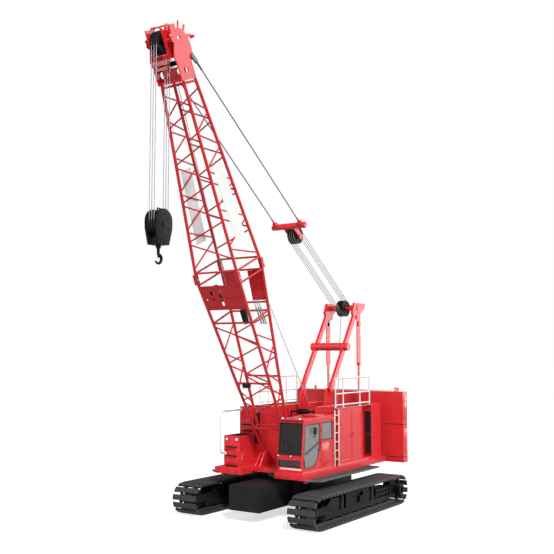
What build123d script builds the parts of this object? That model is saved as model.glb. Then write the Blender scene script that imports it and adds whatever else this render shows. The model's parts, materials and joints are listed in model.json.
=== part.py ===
from build123d import *
import os
from math import asin, atan2, cos, degrees, hypot, pi, radians, sin

# Crawler crane with a two-section lattice boom. Millimetres, +X forward, +Y left, +Z up.
# The origin is on the ground under the middle of the whole outline. Sizes are given from
# the slewing axis, which stands behind the origin.
slewX = -1285.3
fit = 0.3                  # gap between curved pieces that bear on each other

# tracks
trackWidth = 5055.0        # over the shoes
shoeWidth = 875.0
wheelBase = 5120.0         # idler axle to sprocket axle
pitchRadius = 360.0        # chain pins round the end wheels
shoeDepth = 110.0          # pin line to the ground face of a shoe
shoePlate = 62.0           # thickness of a shoe at its pad
shoeGap = 0.19             # share of the pitch left open between two pads
shoeCount = 62
chainDepth = 40.0          # pin line to the inner face of the chain
chainWidth = 440.0
chainLap = 10.0            # how far the links reach into the pads
trackY = (trackWidth - shoeWidth) / 2
wheelZ = pitchRadius + shoeDepth
endWheelWidth = 250.0
wheelToFrame = 500.0       # end wheel axle to the end of the frame's beam
frameHalf = wheelBase / 2 - wheelToFrame
beamHalfWidth = 150.0
frameBottom = 330.0
frameTop = 640.0
panelHalfWidth = 245.0     # outer faces of the side panels, from the track's middle
skirt = 40.0               # thickness of the plates that carry the rollers
skirtBottom = 205.0
panelTop = 775.0
midPanel = (-620.0, 830.0)
frontPanel = 1280.0        # rear end of the tapering front panel
rearPanel = -1080.0        # front end of the slotted rear panel
rollerCount = 9
rollerR = 88.0
rollerEnd = 60.0           # last roller to the end of the beam
topRollerR = 70.0
topRollers = (1055.0, -850.0)
driveR = 190.0             # final drive housing
driveOut = 2515.0

# carbody
carbodyHalfX = 1000.0
carbodyHalfY = 1050.0
carbodyBottom = 330.0
carbodyTop = 1040.0
beamX = 790.0              # cross beams, from the slewing axis
beamWidth = 420.0
beamBottom = 350.0
beamTop = 690.0
blockFront = 2770.0        # carbody weights, front and rear
blockHalfY = 540.0
blockBottom = 320.0
blockTop = 1050.0
ringR = 880.0
ringBore = 550.0
ringTop = 1140.0

# revolving frame and decks
frameHalfY = 600.0
frameFloor = 1290.0
flangeR = 810.0
deckBottom = 1240.0
deckTop = 1430.0
frameFront = 1500.0
frameRear = -3500.0
deckFront = 2060.0
deckRear = -3240.0
deckHalfY = 1610.0
walkHalfY = 2030.0
walkInner = 1340.0
walkFront = 1950.0
walkRear = -1950.0
walkThick = 40.0

# cab
cabRear = 90.0
cabFront = 1970.0
cabInner = 640.0
cabOuter = 1493.0
cabTopFront = 2950.0
cabTopRear = 3020.0
cabWall = 50.0
cabNose = 430.0            # height of the cab's widest point over the deck
cabRake = 110.0            # the windscreen's top stands this far back
doorRear = 880.0
doorPost = 65.0            # width of the cab's front post beside the door
doorBottom = 1500.0
doorTop = 2865.0
doorGap = 6.0
doorFrame = 55.0           # metal round the door's glass
doorPanel = 0.42           # share of the door's width its lower panel takes
glassThick = 8.0
hingeOut = 15.0            # hinge axis from the wall's outer face
hingeR = 14.0

# machinery houses
houseTop = 3200.0
houseWall = 40.0
houseInner = 650.0
houseOuter = 1493.0
leftHouseFront = -170.0
rightHouseFront = 950.0
houseRear = -3120.0
recessFront = -1780.0
recessRear = -2450.0
recessDepth = 420.0
doorsRear = -1740.0
houseDoorSplit = -1070.0
houseDoorBottom = 1500.0
houseDoorTop = 3130.0
frontBoxFront = 1780.0
frontBoxInner = 890.0
frontBoxTop = 2360.0

# counterweight
weightFront = -3500.0
weightHalfY = 2160.0
tailRadius = 4400.0
tailFlats = 12
trayBottom = 1200.0
slabTops = (1380.0, 2480.0, 3590.0)
liftLug = 130.0

# boom
footX = 970.0
footZ = 1750.0
boomAngle = 65.12
footHalfY = 506.0
footBossR = 110.0
footBossWidth = 110.0
footPinR = 45.0
pinFit = 0.05
footSlack = 3.0
chordR = 45.0
laceR = 23.0
crossR = 30.0
laceGap = 42.0             # a lacing bar's axis meets the chord this far from its station
kinkT = 6120.0
kinkHalfY = 755.0
kinkHalfN = 620.0
topT = 11650.0
topHalfY = 380.0
topHalfN = 266.0
buttFirst = 1050.0         # lacing stations of the two sections
buttLast = 4350.0
buttPanels = 5
faceOffset = 250.0         # the front and rear faces' stations stand this far on
topFirst = 6400.0
topLast = 11200.0
topPanels = 9
panelShrink = 0.975
headT = 12745.0            # head sheave axle, along and across the boom
headN = -300.0
ropePitchR = 270.0
fallR = 12.0
fallSpacing = 85.0
flangeEdge = 320.0         # outer radius of the head and block sheaves' flanges
flangeWidth = 30.0
sheaveThick = 46.0
headPlateY = 400.0
headPlate = 36.0
cheekY = 240.0
guideT = 12150.0
guideN = 0.0
guideR = 70.0
pendantT = 12210.0
pendantN = 315.0
jibT = 12770.0
jibN = -50.0
jibR = 60.0
bayStart = 5000.0          # winch bay
bayEnd = 5900.0
bayFront = 5120.0
bayDrumT = 5480.0
bayDrumN = -170.0
bayDrumR = 290.0
bayDrumY = (-560.0, -60.0)

# gantry and boom hoist
gantryX = -3220.0
gantryZ = 6500.0
gantryFootX = -1300.0
gantryFootZ = 3680.0
gantryPlate = 90.0
crossTubeR = 135.0
crossTubeZ = 5135.0
hoistSheaveR = 265.0
hoistRopeR = 11.0
hoistLength = 3910.0       # gantry sheave axle to bridle sheave axle
bridleHalfY = 640.0
pendantY = 465.0
pendantR = 17.0

# hook block
blockSheaveZ = 8290.0
blockHalfX = 335.0
cheekThick = 70.0
cheekInner = 135.0
cheekTop = 8740.0
cheekBottom = 7740.0
hookR = 120.0              # middle line of the hook's bend
hookThick = 84.0
hookDrop = 360.0

# ladder and rails
ladderX = (-150.0, 100.0)
ladderTop = 3150.0
rungPitch = 270.0
railTop = 4120.0
railMid = 3640.0
railToe = 3290.0
railR = 22.0
railPosts = (-110.0, -600.0, -1720.0, -2400.0)
railIn = 45.0              # rails stand this far inside the house's side
portalFront = 2030.0
portalTop = 3110.0
portalLow = 1810.0
portalBend = 150.0
portalR = 30.0


def block(x0, x1, y0, y1, z0, z1):
    return Pos((x0 + x1) / 2, (y0 + y1) / 2, (z0 + z1) / 2) * Box(x1 - x0, y1 - y0, z1 - z0)


def sidePlate(points, y0, y1):
    # an outline in X and Z, extruded from y0 to y1
    outline = make_face(Polyline([(x, y0, z) for x, z in points], close=True))
    return extrude(outline, amount=y1 - y0, dir=(0, 1, 0))


def floorPlate(points, z0, z1):
    outline = make_face(Polyline([(x, y, z0) for x, y in points], close=True))
    return extrude(outline, amount=z1 - z0, dir=(0, 0, 1))


def rod(start, end, radius, seam=None):
    # a round bar; seam is a direction in which nothing meets it
    a = Vector(start)
    b = Vector(end)
    along = Plane(origin=a, z_dir=b - a)
    if seam:
        along = Plane(origin=a, x_dir=Vector(seam), z_dir=b - a)
    return along * Cylinder(radius, (b - a).length, align=(Align.CENTER, Align.CENTER, Align.MIN))


def prism(start, end, radius, sides=6):
    # a many-sided bar inside the given radius
    a = Vector(start)
    b = Vector(end)
    along = Plane(origin=a, z_dir=b - a)
    return along * extrude(RegularPolygon(radius, sides), amount=(b - a).length)


def shaft(x, y0, y1, z, radius):
    return rod((x, y0, z), (x, y1, z), radius)


def disc(x, y0, y1, z, radius, sides=20):
    return prism((x, y0, z), (x, y1, z), radius, sides)


def joined(pieces):
    whole = pieces[0]
    for piece in pieces[1:]:
        whole = whole + piece
    return whole


def mirrored(shape):
    return mirror(shape, about=Plane.XZ)


def both(shape):
    return Compound([shape, mirrored(shape)])


def hinges(x, y, zs, side):
    # outside hinges on a wall face at y: each has a fixed knuckle, and above it a knuckle on a
    # strap that runs towards side; the axis stands hingeOut from the face
    fixed = []
    moving = []
    axisY = y + hingeOut
    for z in zs:
        low = rod((x, axisY, z), (x, axisY, z + 40), hingeR, (0, 1, 0))
        x0, x1 = sorted((x, x - side * 60))
        fixed.append(low + block(x0, x1, y, axisY, z, z + 40))
        high = rod((x, axisY, z + 40.5), (x, axisY, z + 95.5), hingeR, (0, 1, 0))
        x0, x1 = sorted((x, x + side * 70))
        moving.append(high + block(x0, x1, y, y + 9, z + 40.5, z + 95.5))
    return fixed, moving


nodes = {}

# Tracks: a chain of straight links round the end wheels, with a pad on every link.
wheelX = wheelBase / 2
straight = wheelBase
bend = pi * pitchRadius
loopLength = 2 * (straight + bend)
shoePitch = loopLength / shoeCount


def onLoop(s):
    # a chain pin's place, from the rear end of the ground run
    s = s % loopLength
    if s < straight:
        return s - wheelX, wheelZ - pitchRadius
    s -= straight
    if s < bend:
        turn = s / pitchRadius - pi / 2
        return wheelX + pitchRadius * cos(turn), wheelZ + pitchRadius * sin(turn)
    s -= bend
    if s < straight:
        return wheelX - s, wheelZ + pitchRadius
    s -= straight
    turn = s / pitchRadius + pi / 2
    return -wheelX + pitchRadius * cos(turn), wheelZ + pitchRadius * sin(turn)


def linkAt(k):
    # middle, direction and outward normal of a link
    ax, az = onLoop(k * shoePitch)
    bx, bz = onLoop((k + 1) * shoePitch)
    link = hypot(bx - ax, bz - az)
    tx, tz = (bx - ax) / link, (bz - az) / link
    return (ax + bx) / 2, (az + bz) / 2, tx, tz, tz, -tx


def chainLine(offset):
    # the chain's outline at a distance outside its pins
    points = []
    for k in range(shoeCount):
        x, z = onLoop(k * shoePitch)
        _, _, _, _, px, pz = linkAt(k - 1)
        _, _, _, _, nx, nz = linkAt(k)
        share = 1 + px * nx + pz * nz
        points.append((x + offset * (px + nx) / share, z + offset * (pz + nz) / share))
    return points


def pad(k):
    x, z, tx, tz, ox, oz = linkAt(k)
    half = shoePitch * (1 - shoeGap) / 2
    inner = shoeDepth - shoePlate
    corners = []
    for along, out in ((-half, inner), (-half, shoeDepth), (half, shoeDepth), (half, inner)):
        corners.append((x + tx * along + ox * out, z + tz * along + oz * out))
    return sidePlate(corners, trackY - shoeWidth / 2, trackY + shoeWidth / 2)


chain = sidePlate(chainLine(shoeDepth - shoePlate + chainLap), trackY - chainWidth / 2, trackY + chainWidth / 2)
chain = chain - sidePlate(chainLine(-chainDepth), trackY - chainWidth, trackY + chainWidth)
trackLeft = chain + [pad(k) for k in range(shoeCount)]
nodes["tracks"] = both(trackLeft)

# Track frame: a beam with side panels, plates for the rollers, yokes for the end wheels and
# the final drive at the rear.
fy0 = trackY - panelHalfWidth
fy1 = trackY + panelHalfWidth
beam = block(-frameHalf, frameHalf, trackY - beamHalfWidth, trackY + beamHalfWidth, frameBottom, frameTop)
parts = [block(midPanel[0], midPanel[1], fy0, fy1, frameBottom, panelTop)]
frontOutline = [(frontPanel, frameBottom), (frontPanel, panelTop - 20), (frameHalf - 340, panelTop - 20)]
frontOutline += [(frameHalf - 60, 560), (frameHalf - 60, frameBottom)]
parts.append(sidePlate(frontOutline, fy0, fy1))
parts.append(block(-frameHalf + 140, rearPanel, fy0, fy1, 430, frameTop - 10))
frame = beam + parts
cuts = []
for y0, y1 in ((fy1 - 70, fy1 + 1), (fy0 - 1, fy0 + 70)):
    # a T-shaped opening in the middle panel and slots in the rear one
    cuts.append(block(-220, 430, y0, y1, 600, 720))
    cuts.append(block(-30, 240, y0, y1, 430, 601))
    for k in range(4):
        x = -frameHalf + 230 + k * 190
        cuts.append(block(x, x + 110, y0, y1, 490, 570))
frame = frame - cuts
yokeReach = wheelX + 130
parts = []
for y0, y1 in ((fy0, fy0 + skirt), (fy1 - skirt, fy1)):
    parts.append(block(-frameHalf, frameHalf, y0, y1, skirtBottom, frameBottom + 40))
    for side in (-1, 1):
        reach = [(side * (frameHalf - 60), wheelZ - 120), (side * yokeReach, wheelZ - 90)]
        reach += [(side * yokeReach, wheelZ + 90), (side * (frameHalf - 60), wheelZ + 120)]
        parts.append(sidePlate(reach, y0, y1))
    for x in topRollers:
        parts.append(block(x - 60, x + 60, y0, y1, frameBottom, frameTop + 130))
for side in (-1, 1):
    for x in (side * (frameHalf - 60), side * (frameHalf - 100)):
        parts.append(block(x - 20, x + 20, fy0 + skirt, fy1 - skirt, frameBottom, frameTop - 60))
parts.append(disc(-wheelX, fy1 - 1, driveOut, wheelZ, driveR, 16))
parts.append(disc(wheelX, fy1 - 1, fy1 + 25, wheelZ, 95, 8))
frame = frame + parts
nodes["track_frames"] = both(frame)

# rollers turn on axles that end on the plates' inner faces
rollers = []
axleY0 = fy0 + skirt
axleY1 = fy1 - skirt
rollerSpan = 2 * (frameHalf - rollerEnd)
rollerZ = wheelZ - pitchRadius + chainDepth + fit + rollerR
topRollerZ = wheelZ + pitchRadius - chainDepth - fit - topRollerR
for k in range(rollerCount):
    x = (k / (rollerCount - 1) - 0.5) * rollerSpan
    rollers.append(disc(x, axleY0, axleY1, rollerZ, rollerR, 8))
beamGap = 10.0
for x in topRollers:
    for y0, y1 in ((trackY + beamHalfWidth + beamGap, axleY1), (axleY0, trackY - beamHalfWidth - beamGap)):
        rollers.append(disc(x, y0, y1, topRollerZ, topRollerR, 8))
nodes["track_rollers"] = Compound(rollers + [mirrored(r) for r in rollers])

# end wheels: idler in front, sprocket behind
innerR = pitchRadius * cos(shoePitch / pitchRadius / 2) - chainDepth
ends = []
for side in (-1, 1):
    x = side * wheelX
    rim = disc(x, trackY - endWheelWidth / 2, trackY + endWheelWidth / 2, wheelZ, innerR - fit, 20)
    ends.append(rim + disc(x, axleY0, axleY1, wheelZ, 95, 8))
nodes["track_end_wheels"] = Compound(ends + [mirrored(w) for w in ends])

# Carbody
body = block(-carbodyHalfX, carbodyHalfX, -carbodyHalfY, carbodyHalfY, carbodyBottom, carbodyTop)
body = chamfer(body.edges().filter_by(Axis.Z), 260)
beams = []
for side in (-1, 1):
    x = side * beamX
    beams.append(block(x - beamWidth / 2, x + beamWidth / 2, -fy0, fy0, beamBottom, beamTop))
body = body + beams
nodes["carbody"] = body
weights = []
for side in (-1, 1):
    x0, x1 = sorted((side * carbodyHalfX, side * blockFront))
    weights.append(block(x0, x1, -blockHalfY, blockHalfY, blockBottom, blockTop))
nodes["carbody_weights"] = Compound(weights)
ring = prism((0, 0, carbodyTop), (0, 0, ringTop), ringR, 32)
nodes["slew_ring"] = ring - prism((0, 0, carbodyTop - 1), (0, 0, ringTop + 1), ringBore, 24)

# Revolving frame with the boom's foot lugs and pins
base = block(frameRear, frameFront, -frameHalfY, frameHalfY, frameFloor, deckTop)
flange = prism((0, 0, ringTop), (0, 0, frameFloor), flangeR, 32)
lugs = []
lugOutline = [(footX - 420, deckTop), (footX + 400, deckTop), (footX + 130, footZ + 60), (footX + 60, footZ + 130)]
lugOutline += [(footX - 60, footZ + 130), (footX - 130, footZ + 60)]
bossHalf = footBossWidth / 2 + footSlack
lugThick = 55.0
for side in (-1, 1):
    for y0, y1 in ((footHalfY - bossHalf - lugThick, footHalfY - bossHalf), (footHalfY + bossHalf, footHalfY + bossHalf + 34)):
        a, b = sorted((side * y0, side * y1))
        lugs.append(sidePlate(lugOutline, a, b))
    a, b = sorted((side * (footHalfY - bossHalf - lugThick), side * (footHalfY + bossHalf + 34)))
    lugs.append(shaft(footX, a, b, footZ, footPinR))
base = base + flange
base = base + lugs
nodes["revolving_frame"] = base

# Decks beside the frame, with walkways out over the tracks
decks = []
for side, front in ((1, deckFront), (-1, deckFront + 40)):
    y0, y1 = sorted((side * frameHalfY, side * deckHalfY))
    deck = block(deckRear, front, y0, y1, deckBottom, deckTop)
    y0, y1 = sorted((side * 1460, side * 1560))
    deck = deck + block(1700, 1820, y0, y1, deckBottom - 110, deckBottom)
    decks.append(deck - prism((0, 0, deckBottom - 1), (0, 0, frameFloor), flangeR + 5, 32))
nodes["decks"] = Compound(decks)
walks = []
walk = [(walkRear, walkInner), (walkFront - 250, walkInner), (walkFront, deckHalfY), (walkFront - 250, walkHalfY), (walkRear, walkHalfY)]
walk = floorPlate(walk, deckBottom - walkThick, deckBottom)
walk = walk - block(1600, walkFront + 50, 1400, 1600, deckBottom - 200, deckBottom + 1)
nodes["walkways"] = both(walk)

# Cab
noseZ = deckTop + cabNose
cabOutline = [(cabRear, deckTop), (cabFront - 40, deckTop), (cabFront, noseZ)]
cabOutline += [(cabFront - cabRake, cabTopFront - 70), (cabFront - cabRake - 90, cabTopFront), (cabRear, cabTopRear)]
frontLean = cabRake / (cabTopFront - 70 - noseZ)


def frontX(z):
    if z < noseZ:
        return cabFront - 40 * (noseZ - z) / cabNose
    return cabFront - (z - noseZ) * frontLean


def inset(points, wall):
    # an outline moved in by a wall
    count = len(points)
    moved = []
    for k in range(count):
        ax, az = points[k - 1]
        bx, bz = points[k]
        cx, cz = points[(k + 1) % count]
        la = hypot(bx - ax, bz - az)
        lb = hypot(cx - bx, cz - bz)
        nax, naz = -(bz - az) / la, (bx - ax) / la
        nbx, nbz = -(cz - bz) / lb, (cx - bx) / lb
        share = 1 + nax * nbx + naz * nbz
        moved.append((bx + wall * (nax + nbx) / share, bz + wall * (naz + nbz) / share))
    return moved


cab = sidePlate(cabOutline, cabInner, cabOuter)
cab = cab - sidePlate(inset(cabOutline, cabWall), cabInner + cabWall, cabOuter - cabWall)
doorOutline = [(doorRear, doorBottom), (frontX(doorBottom) - doorPost, doorBottom), (cabFront - doorPost, noseZ)]
doorOutline += [(frontX(doorTop) - doorPost, doorTop), (doorRear, doorTop)]
# windows: front, lower front, inner side, rear and the rear quarter of the outer side
frontGlass = (deckTop + 510, cabTopFront - 85)
lowGlass = (deckTop + 165, deckTop + 345)
sideGlass = (deckTop + 600, cabTopFront - 130)
quarterX = (cabRear + 110, doorRear - 70)
glassY = (cabInner + 28, cabOuter - 28)
cabCuts = [
    block(cabFront - 260, cabFront + 50, glassY[0], glassY[1], frontGlass[0], frontGlass[1]),
    block(cabFront - 120, cabFront + 50, glassY[0], glassY[1] - 40, lowGlass[0], lowGlass[1]),
    block(cabRear + 500, cabFront - 200, cabInner - 10, cabInner + cabWall + 10, sideGlass[0], sideGlass[1]),
    block(cabRear - 10, cabRear + cabWall + 10, cabInner + 120, cabOuter - 120, sideGlass[0], sideGlass[1]),
    block(quarterX[0], quarterX[1], cabOuter - cabWall - 10, cabOuter + 10, sideGlass[0] + 270, sideGlass[1]),
    sidePlate(doorOutline, cabOuter - cabWall - 10, cabOuter + 10),
]
doorPins, doorStraps = hinges(doorRear + doorGap / 2, cabOuter, (doorBottom + 180, doorTop - 300), 1)
lamps = []
for y in (cabInner + 60, cabInner + 500):
    lamps.append(block(cabFront - 60, cabFront + 45, y - 28, y + 28, deckTop + 460, deckTop + 500))
# a sun guard over the windscreen
guard = [(cabFront - cabRake - 120, cabTopFront - 10), (cabFront - cabRake + 10, cabTopFront - 10)]
guard += [(cabFront - cabRake + 10, cabTopFront + 20), (cabFront - cabRake - 120, cabTopFront + 30)]
lamps.append(sidePlate(guard, cabInner + 20, cabOuter - 20))
cabRoom = sidePlate(inset(cabOutline, cabWall), cabInner + cabWall, cabOuter - cabWall)
shell = joined([cab - cabCuts] + doorPins)
nodes["cab_shell"] = shell + [lamp - cabRoom for lamp in lamps]

panes = []
for z0, z1, y1 in ((frontGlass[0], frontGlass[1], glassY[1]), (lowGlass[0], lowGlass[1], glassY[1] - 40)):
    corners = [(frontX(z0) - 30, z0), (frontX(z0) - 22, z0), (frontX(z1) - 22, z1), (frontX(z1) - 30, z1)]
    panes.append(sidePlate(corners, glassY[0], y1))
panes.append(block(cabRear + 500, cabFront - 200, cabInner + 20, cabInner + 20 + glassThick, sideGlass[0], sideGlass[1]))
panes.append(block(cabRear + 20, cabRear + 20 + glassThick, cabInner + 120, cabOuter - 120, sideGlass[0], sideGlass[1]))
panes.append(block(quarterX[0], quarterX[1], cabOuter - 28, cabOuter - 28 + glassThick, sideGlass[0] + 270, sideGlass[1]))
nodes["cab_windows"] = Compound([pane - lamps for pane in panes])

door = sidePlate(inset(doorOutline, doorGap), cabOuter - cabWall, cabOuter)
lightEdge = inset(doorOutline, doorGap + doorFrame)
panelFront = doorRear + (cabFront - doorPost - doorRear) * doorPanel
lightOutline = [(panelFront, doorBottom + doorFrame), lightEdge[1], lightEdge[2], lightEdge[3], lightEdge[4]]
lightOutline += [(lightEdge[4][0], doorBottom + 700), (lightEdge[4][0] + 90, doorBottom + 320), (panelFront - 130, doorBottom + 120)]
light = sidePlate(lightOutline, cabOuter - cabWall - 10, cabOuter + 10)
nodes["cab_door"] = joined([door - light] + doorStraps)
nodes["door_glass"] = light & block(0, 3000, cabOuter - 28, cabOuter - 20, 1000, 3500)

# seat and console on the cab floor
floorZ = deckTop + cabWall
seatY = (cabInner + cabOuter) / 2
seat = block(700, 1080, seatY - 200, seatY + 200, floorZ, floorZ + 320)
seat = seat + block(600, 1130, seatY - 250, seatY + 250, floorZ + 320, floorZ + 460)
seat = seat + sidePlate([(540, floorZ + 400), (700, floorZ + 400), (590, floorZ + 1020), (460, floorZ + 1020)], seatY - 230, seatY + 230)
console = block(cabFront - 420, cabFront - 200, cabInner + 90, cabInner + 330, floorZ, floorZ + 640)
nodes["cab_seat"] = Compound([seat, console])

# Machinery houses: the left one has two doors and a deep recess with a grille that faces
# forward; the right one carries a lower box in front.
house = block(houseRear, leftHouseFront, houseInner, houseOuter, deckTop, houseTop)
house = house - block(recessRear, recessFront, houseOuter - recessDepth, houseOuter + 10, deckTop + 60, houseTop + 10)
inY0 = houseInner + houseWall
inY1 = houseOuter - houseWall
house = house - block(houseRear + houseWall, recessRear - houseWall, inY0, inY1, deckTop - 1, houseTop - houseWall)
house = house - block(recessFront + houseWall, leftHouseFront - houseWall, inY0, inY1, deckTop - 1, houseTop - houseWall)
doorsFront = leftHouseFront - 25
house = house - block(doorsRear, doorsFront, houseOuter - houseWall - 5, houseOuter + 5, houseDoorBottom, houseDoorTop)
hingeZs = (houseDoorBottom + 180, houseDoorTop - 300)
frontPins, frontStraps = hinges(doorsFront - doorGap / 2, houseOuter, hingeZs, -1)
rearPins, rearStraps = hinges(doorsRear + doorGap / 2, houseOuter, hingeZs, 1)
nodes["left_house"] = joined([house] + frontPins + rearPins)
leafBottom = houseDoorBottom + doorGap
leafTop = houseDoorTop - doorGap
leaf = block(houseDoorSplit + 5, doorsFront - doorGap, inY1, houseOuter, leafBottom, leafTop)
nodes["house_door_front"] = joined([leaf] + frontStraps)
leaf = block(doorsRear + doorGap, houseDoorSplit - 5, inY1, houseOuter, leafBottom, leafTop)
nodes["house_door_rear"] = joined([leaf] + rearStraps)
grille = [block(recessRear, recessRear + 40, houseOuter - 230, houseOuter - 12, deckTop + 130, 2190)]
grille.append(block(recessRear, recessRear + 40, houseOuter - 230, houseOuter - 12, 2230, 2970))
slats = []
for half in grille:
    box = half.bounding_box()
    count = int((box.max.Z - box.min.Z) / 90)
    cuts = []
    for k in range(count):
        z = box.min.Z + 40 + k * 90
        cuts.append(block(recessRear + 22, recessRear + 50, houseOuter - 212, houseOuter - 30, z, z + 50))
    slats.append(half - cuts)
nodes["house_grille"] = Compound(slats)

right = block(houseRear, rightHouseFront, -houseOuter, -houseInner, deckTop, houseTop)
right = right - block(houseRear + houseWall, rightHouseFront - houseWall, -inY1, -inY0, deckTop - 1, houseTop - houseWall)
frontBox = block(rightHouseFront, frontBoxFront, -houseOuter, -frontBoxInner, deckTop, frontBoxTop)
nodes["right_house"] = right + frontBox
nodes["engine"] = block(-2300, -900, -1330, -760, deckTop, deckTop + 1050)


def weightSlab(z0, z1):
    # a slab with a round tail
    tailX = -(tailRadius**2 - weightHalfY**2) ** 0.5
    points = [(tailX, -weightHalfY), (weightFront, -weightHalfY), (weightFront, weightHalfY), (tailX, weightHalfY)]
    turn = asin(weightHalfY / tailRadius)
    for k in range(1, tailFlats):
        a = turn * (1 - 2 * k / tailFlats)
        points.append((-tailRadius * cos(a), tailRadius * sin(a)))
    return floorPlate(points, z0, z1)


# tray and slabs, with a groove at each seam
seam = 10.0
stack = []
for z0, z1 in ((trayBottom, slabTops[0]), (slabTops[0] + seam, slabTops[1]), (slabTops[1] + seam, slabTops[2])):
    stack.append(weightSlab(z0, z1))
for z in slabTops[:2]:
    stack.append(block(weightFront - 250, weightFront - 20, -weightHalfY + 60, weightHalfY - 60, z, z + seam))
lugs = []
for x, y in ((weightFront - 160, weightHalfY - 260), (weightFront - 520, weightHalfY - 520)):
    for side in (-1, 1):
        lugs.append(block(x - 60, x + 60, side * y - 15, side * y + 15, slabTops[2], slabTops[2] + liftLug))
nodes["counterweight"] = stack[0] + stack[1:] + lugs

# Winches between the houses, and the gantry that stands on their side plates
winchOutline = [(frameRear + 410, deckTop), (-150, deckTop), (-150, 2300), (-900, 2600), (gantryFootX + 190, gantryFootZ - 60)]
winchOutline += [(gantryFootX + 100, gantryFootZ + 90), (gantryFootX - 110, gantryFootZ + 90), (-1750, 2900), (-2700, 2500)]
winchOutline += [(frameRear + 410, 2300)]
winchY0 = 470.0
winchY1 = 510.0
winchPlates = [sidePlate(winchOutline, winchY0, winchY1), sidePlate(winchOutline, -winchY1, -winchY0)]
winchPlates.append(block(-1900, -1820, -winchY0, winchY0, 2500, 2850))
winchPlates.append(block(-190, -150, -winchY0, winchY0, deckTop, deckTop + 260))
nodes["winch_frame"] = joined(winchPlates)
drums = []
for x, z, edgeR, coreR in ((-560, 1990, 330, 210), (-1480, 2160, 360, 230), (-2450, 2030, 330, 210)):
    barrel = disc(x, -winchY0, winchY0, z, 70, 8)
    barrel = barrel + disc(x, -430, 430, z, coreR, 12)
    for y0, y1 in ((-450, -415), (415, 450)):
        barrel = barrel + disc(x, y0, y1, z, edgeR, 16)
    drums.append(barrel)
nodes["winch_drums"] = Compound(drums)


def bar(x0, z0, x1, z1, wide, y0, y1):
    # a flat-sided bar between two points, with square ends
    length = hypot(x1 - x0, z1 - z0)
    nx, nz = -(z1 - z0) / length * wide / 2, (x1 - x0) / length * wide / 2
    return sidePlate([(x0 + nx, z0 + nz), (x1 + nx, z1 + nz), (x1 - nx, z1 - nz), (x0 - nx, z0 - nz)], y0, y1)


legY0 = winchY1
legY1 = winchY1 + gantryPlate
gx = gantryX
gz = gantryZ
topPlate = [(gx - 550, gz + 180), (gx - 480, gz - 20), (gx - 180, gz - 200), (gx - 130, gz - 400)]
topPlate += [(gx + 270, gz - 400), (gx + 370, gz - 150), (gx + 220, gz + 180)]
legs = []
for side in (-1, 1):
    a, b = sorted((side * legY0, side * legY1))
    legs.append(bar(gantryFootX, gantryFootZ, gx + 60, gz - 60, 180, a, b))
    legs.append(sidePlate(topPlate, a, b) - disc(gx + 60, a - 1, b + 1, gz - 150, 70, 16))
    # back stays: a thin lower strut and a wide link above it
    a, b = sorted((side * legY1, side * (legY1 + 34)))
    legs.append(block(gx - 45, gx + 55, a, b, deckTop, 4600))
    legs.append(block(gx - 115, gx + 125, a, b, 4480, gz - 260))
    a, b = sorted((side * (legY1 + 33), side * (legY1 + 70)))
    legs.append(disc(gx + 5, a, b, 5950, 85, 8))
    legs.append(disc(gx + 5, a, b, 4540, 60, 8))
crossShare = (crossTubeZ - gantryFootZ) / (gz - gantryFootZ)
crossX = gantryFootX + (gx - gantryFootX) * crossShare
legs.append(disc(crossX, -legY1 - 130, legY1 + 130, crossTubeZ, crossTubeR, 12))
legs.append(shaft(gx, -legY0 - 10, legY0 + 10, gz, 60))
legs.append(block(gx - 470, gx - 330, -legY0 - 10, legY0 + 10, gz - 60, gz + 130))
nodes["gantry_frame"] = legs[0] + legs[1:]


def sheavePack(x, z, ys, edge, boreR):
    # discs side by side on one sleeve, each running in the plane of a rope
    reach = sheaveThick / 2 + 10
    solids = [disc(x, min(ys) - reach, max(ys) + reach, z, boreR + 40, 8)]
    solids += [disc(x, y - sheaveThick / 2, y + sheaveThick / 2, z, edge, 16) for y in ys]
    pack = solids[0] + solids[1:]
    return pack - shaft(x, -900, 900, z, boreR)


hoistYs = (-105.0, -35.0, 35.0, 105.0)
nodes["gantry_sheaves"] = sheavePack(gx, gz, hoistYs, hoistSheaveR, 60 + fit)

# Boom. Its own frame has t along it from the foot, y to the left and n to its rear and top.
boomPlace = Pos(footX, 0, footZ) * Rot(0, -boomAngle, 0)


def boomPoint(t, y, n):
    a = radians(boomAngle)
    return footX + t * cos(a) - n * sin(a), y, footZ + t * sin(a) + n * cos(a)


buttEnds = ((0.0, footHalfY, 0.0), (kinkT, kinkHalfY, kinkHalfN))
topEnds = ((kinkT, kinkHalfY, kinkHalfN), (topT, topHalfY, topHalfN))


def chordAt(t, ends):
    # half widths of a tapering section at t, from its two ends (t, halfY, halfN)
    (t0, y0, n0), (t1, y1, n1) = ends
    share = (t - t0) / (t1 - t0)
    return y0 + (y1 - y0) * share, n0 + (n1 - n0) * share


def between(t0, t1, ends):
    # the two spaces that end on the chords' inner sides: one across n and one across y
    y0, n0 = chordAt(t0, ends)
    y1, n1 = chordAt(t1, ends)
    (ta, ya, na), (tb, yb, nb) = ends
    yIn = chordR / cos(atan2(yb - ya, tb - ta))
    nIn = chordR / cos(atan2(nb - na, tb - ta))
    acrossN = [(t0, n0 - nIn), (t1, n1 - nIn), (t1, nIn - n1), (t0, nIn - n0)]
    acrossY = [(t0, y0 - yIn), (t1, y1 - yIn), (t1, yIn - y1), (t0, yIn - y0)]
    return sidePlate(acrossN, -2000, 2000), floorPlate(acrossY, -2000, 2000)


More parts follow.
